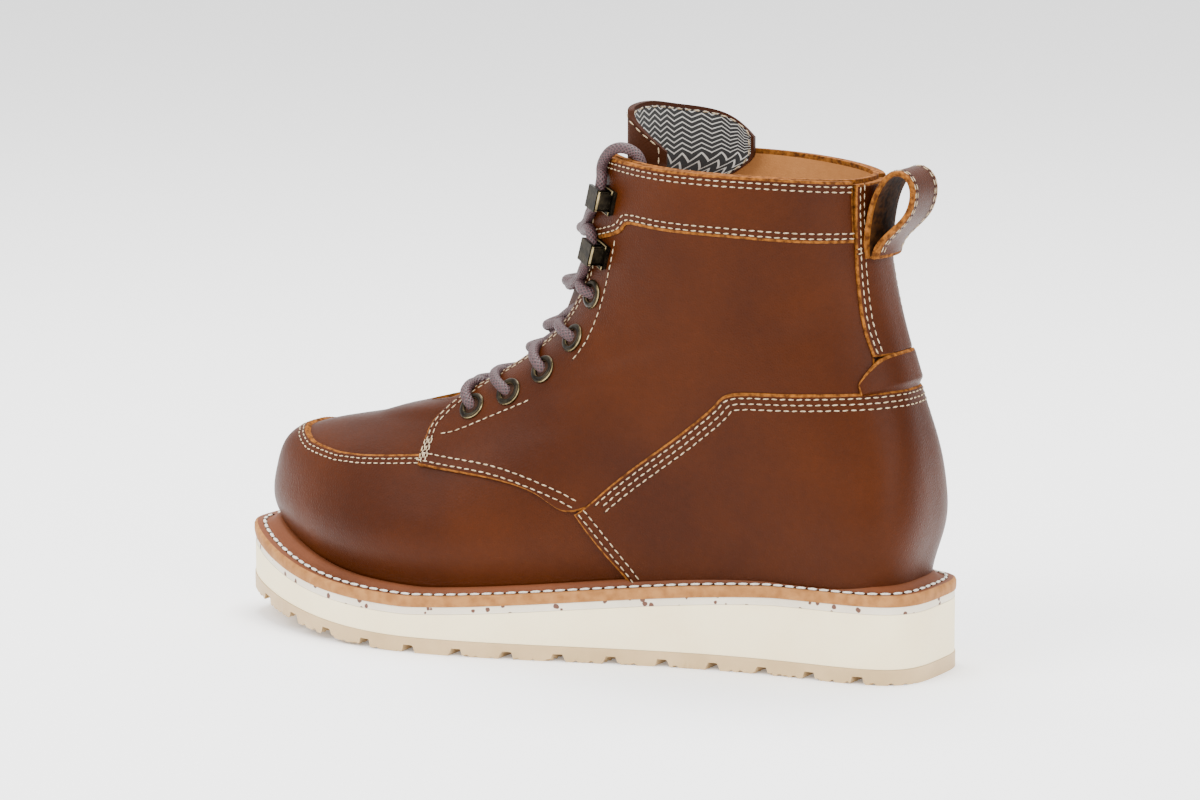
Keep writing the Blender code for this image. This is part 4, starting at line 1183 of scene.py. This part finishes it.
def make_stitching():
    """Every seam of the upper in thread: rows at set distances inside each panel's cut edge."""
    for side, name in SIDES:
        rows = []

        def add(table, distance, lift, start=0.0, end=1.0):
            rows.append(skin_row(moved_line(dense(table, start, end), distance), lift, side))
        for inset in (1.7, 4.9):
            add(QUARTER_TOE, inset, QUARTER_TOP + 0.05)
        for inset in (1.7, 3.7):
            add(QUARTER_FRONT, inset, QUARTER_TOP + 0.05)
        for inset in (1.0, 2.3, 3.0, 4.3):
            add(QUARTER_FRONT, inset, QUARTER_TOP + 0.15, 0.03, 0.22)
        add(EYESTAY_SEAM, 0.0, QUARTER_TOP + 0.05)
        add(INSTEP_SEAM, 0.0, QUARTER_TOP + 0.05)
        for inset in (1.7, 3.7):
            add(COLLAR_LOW, inset, OVERLAY_TOP + 0.05)
            add(COLLAR_TOP, -inset - 0.3, OVERLAY_TOP + 0.05)
            add(COLLAR_FRONT, inset, OVERLAY_TOP + 0.05)
        for inset in (2.0, 4.2, 6.4):
            add(COUNTER_EDGE, -inset, OVERLAY_TOP + 0.05, 0.0, 0.985)
        for inset in (1.6, 4.4):
            add((COUNTER_CORNER, (0.450, 0.120), COUNTER_FOOT), -inset, OVERLAY_TOP + 0.05, 0.02, 0.96)
        for inset in (1.7, 3.6):
            add(STRAP_SIDE, inset, STRAP_TOP + 0.05)
            around = np.linspace(0.0, 0.094, 60)
            cross = np.stack([around, np.full(60, 0.79 + inset * 0.006)], axis=1)
            rows.append(skin_row(cross, STRAP_TOP + 0.05, side))
        seam_around = np.linspace(0.655, 1.0, 240)
        seam = np.stack([seam_around, moc_seam(seam_around)], axis=1)
        for inset in (2.0, 4.1):
            rows.append(skin_row(moved_line(seam, -inset), 0.05, side))
        stitch_piece(f"boot_stitching_{name}", rows)
    make_loop_stitching()
    make_tongue_stitching()
    make_welt_stitching()


def make_tongue_stitching():
    """One row round the tongue's top, seen on its leather and on its cloth."""
    sides = np.linspace(0.72, 0.965, 60)
    turn = np.concatenate([np.full(60, -0.94), np.linspace(-0.92, 0.92, 120), np.full(60, 0.94)])
    across = np.concatenate([sides, np.full(120, 0.98), sides[::-1]])
    share = 1.0 / (TONGUE_OUTER - TONGUE_INNER)
    rows = []
    for layer, out in ((1.0, share), (0.0, -share)):
        points = tongue_point(turn, across, layer + 0.1 * out)
        rows.append((points, unit(tongue_point(turn, across, layer + out) - points)))
    stitch_piece("boot_tongue_stitching", rows, STITCH_PITCH * 1.2, STITCH_LENGTH * 1.2)


def make_loop_stitching():
    t = np.linspace(0.02, 0.98, 160)
    run = loop_spot(t)[1]
    out = np.stack([run[:, 1], np.zeros(len(t)), -run[:, 0]], axis=1)
    rows = []
    for side in (-1, 1):
        for inset in (2.0, 3.8):
            aside = np.full(len(t), side * (LOOP_HALF_WIDTH * 0.95 - inset))
            rows.append((loop_point(t, aside, -LOOP_THICK / 2 - 0.05), out))
    stitch_piece("boot_loop_stitching", rows)


def make_welt_stitching():
    around = np.linspace(-0.999, 0.999, 1600)
    edge, hug = welt_rows(around)
    plan = edge + (hug - edge) * WELT_SEAM
    points = np.column_stack([plan, midsole_top(edge[:, 0]) + WELT + 0.15])
    normals = np.tile((0.0, 0.0, 1.0), (len(points), 1))
    stitch_piece("boot_welt_stitching", [(points, normals)], WELT_PITCH, WELT_STITCH,
                 WELT_THREAD, welt_thread)


# Stage


def placed(name, data):
    """A new object in the scene that isn't a piece of the boot."""
    thing = bpy.data.objects.new(name, data)
    bpy.context.scene.collection.objects.link(thing)
    return thing


def make_stage():
    bm = bmesh.new()
    bmesh.ops.create_grid(bm, x_segments=1, y_segments=1, size=9.0)
    mesh = bpy.data.meshes.new("floor")
    bm.to_mesh(mesh)
    bm.free()
    glow = {"Emission Color": grey(1.0), "Emission Strength": FLOOR_GLOW}
    mesh.materials.append(Finish("pale_floor", grey(0.93), 0.8).dress(glow))
    placed("floor", mesh)
    world = bpy.data.worlds.new("studio")
    bpy.context.scene.world = world
    world.use_nodes = True
    background = world.node_tree.nodes["Background"]
    background.inputs["Color"].default_value = (1.0, 1.0, 1.0, 1.0)
    background.inputs["Strength"].default_value = WORLD_STRENGTH
    for name, place, size, power in LIGHTS:
        data = bpy.data.lights.new(name, "AREA")
        data.shape = "SQUARE"
        data.size = size
        data.energy = power
        lamp = placed(name, data)
        lamp.location = place
        lamp.rotation_euler = (Vector((0, 0, 0.1)) - Vector(place)).to_track_quat("-Z", "Y").to_euler()


def make_camera():
    side, up = np.radians([CAMERA_SIDE, CAMERA_UP])
    back = np.array([-np.sin(side) * np.cos(up), np.cos(side) * np.cos(up), np.sin(up)])
    right = np.array([-np.cos(side), -np.sin(side), 0.0])
    above = np.cross(right, -back)
    scale = CAMERA_AWAY / FOCAL_PIXELS
    aim = right * (600.0 - ORIGIN_PIXEL[0]) * scale + above * (ORIGIN_PIXEL[1] - 400.0) * scale
    place = aim + back * CAMERA_AWAY + np.array([0.0, SIDE_SHIFT * MM, 0.0])
    data = bpy.data.cameras.new("camera")
    data.lens = CAMERA_LENS
    data.sensor_width = 36.0
    data.clip_end = 50.0
    camera = placed("camera", data)
    camera.matrix_world = Matrix([*zip(right, above, back, place), (0.0, 0.0, 0.0, 1.0)])
    bpy.context.scene.camera = camera


make_camera()
make_stage()
make_upper()
make_panels()
make_heel_panels()
make_loop()
make_tongue()
make_sole()
make_welt()
make_eyelets()
make_hooks()
make_laces()
make_stitching()
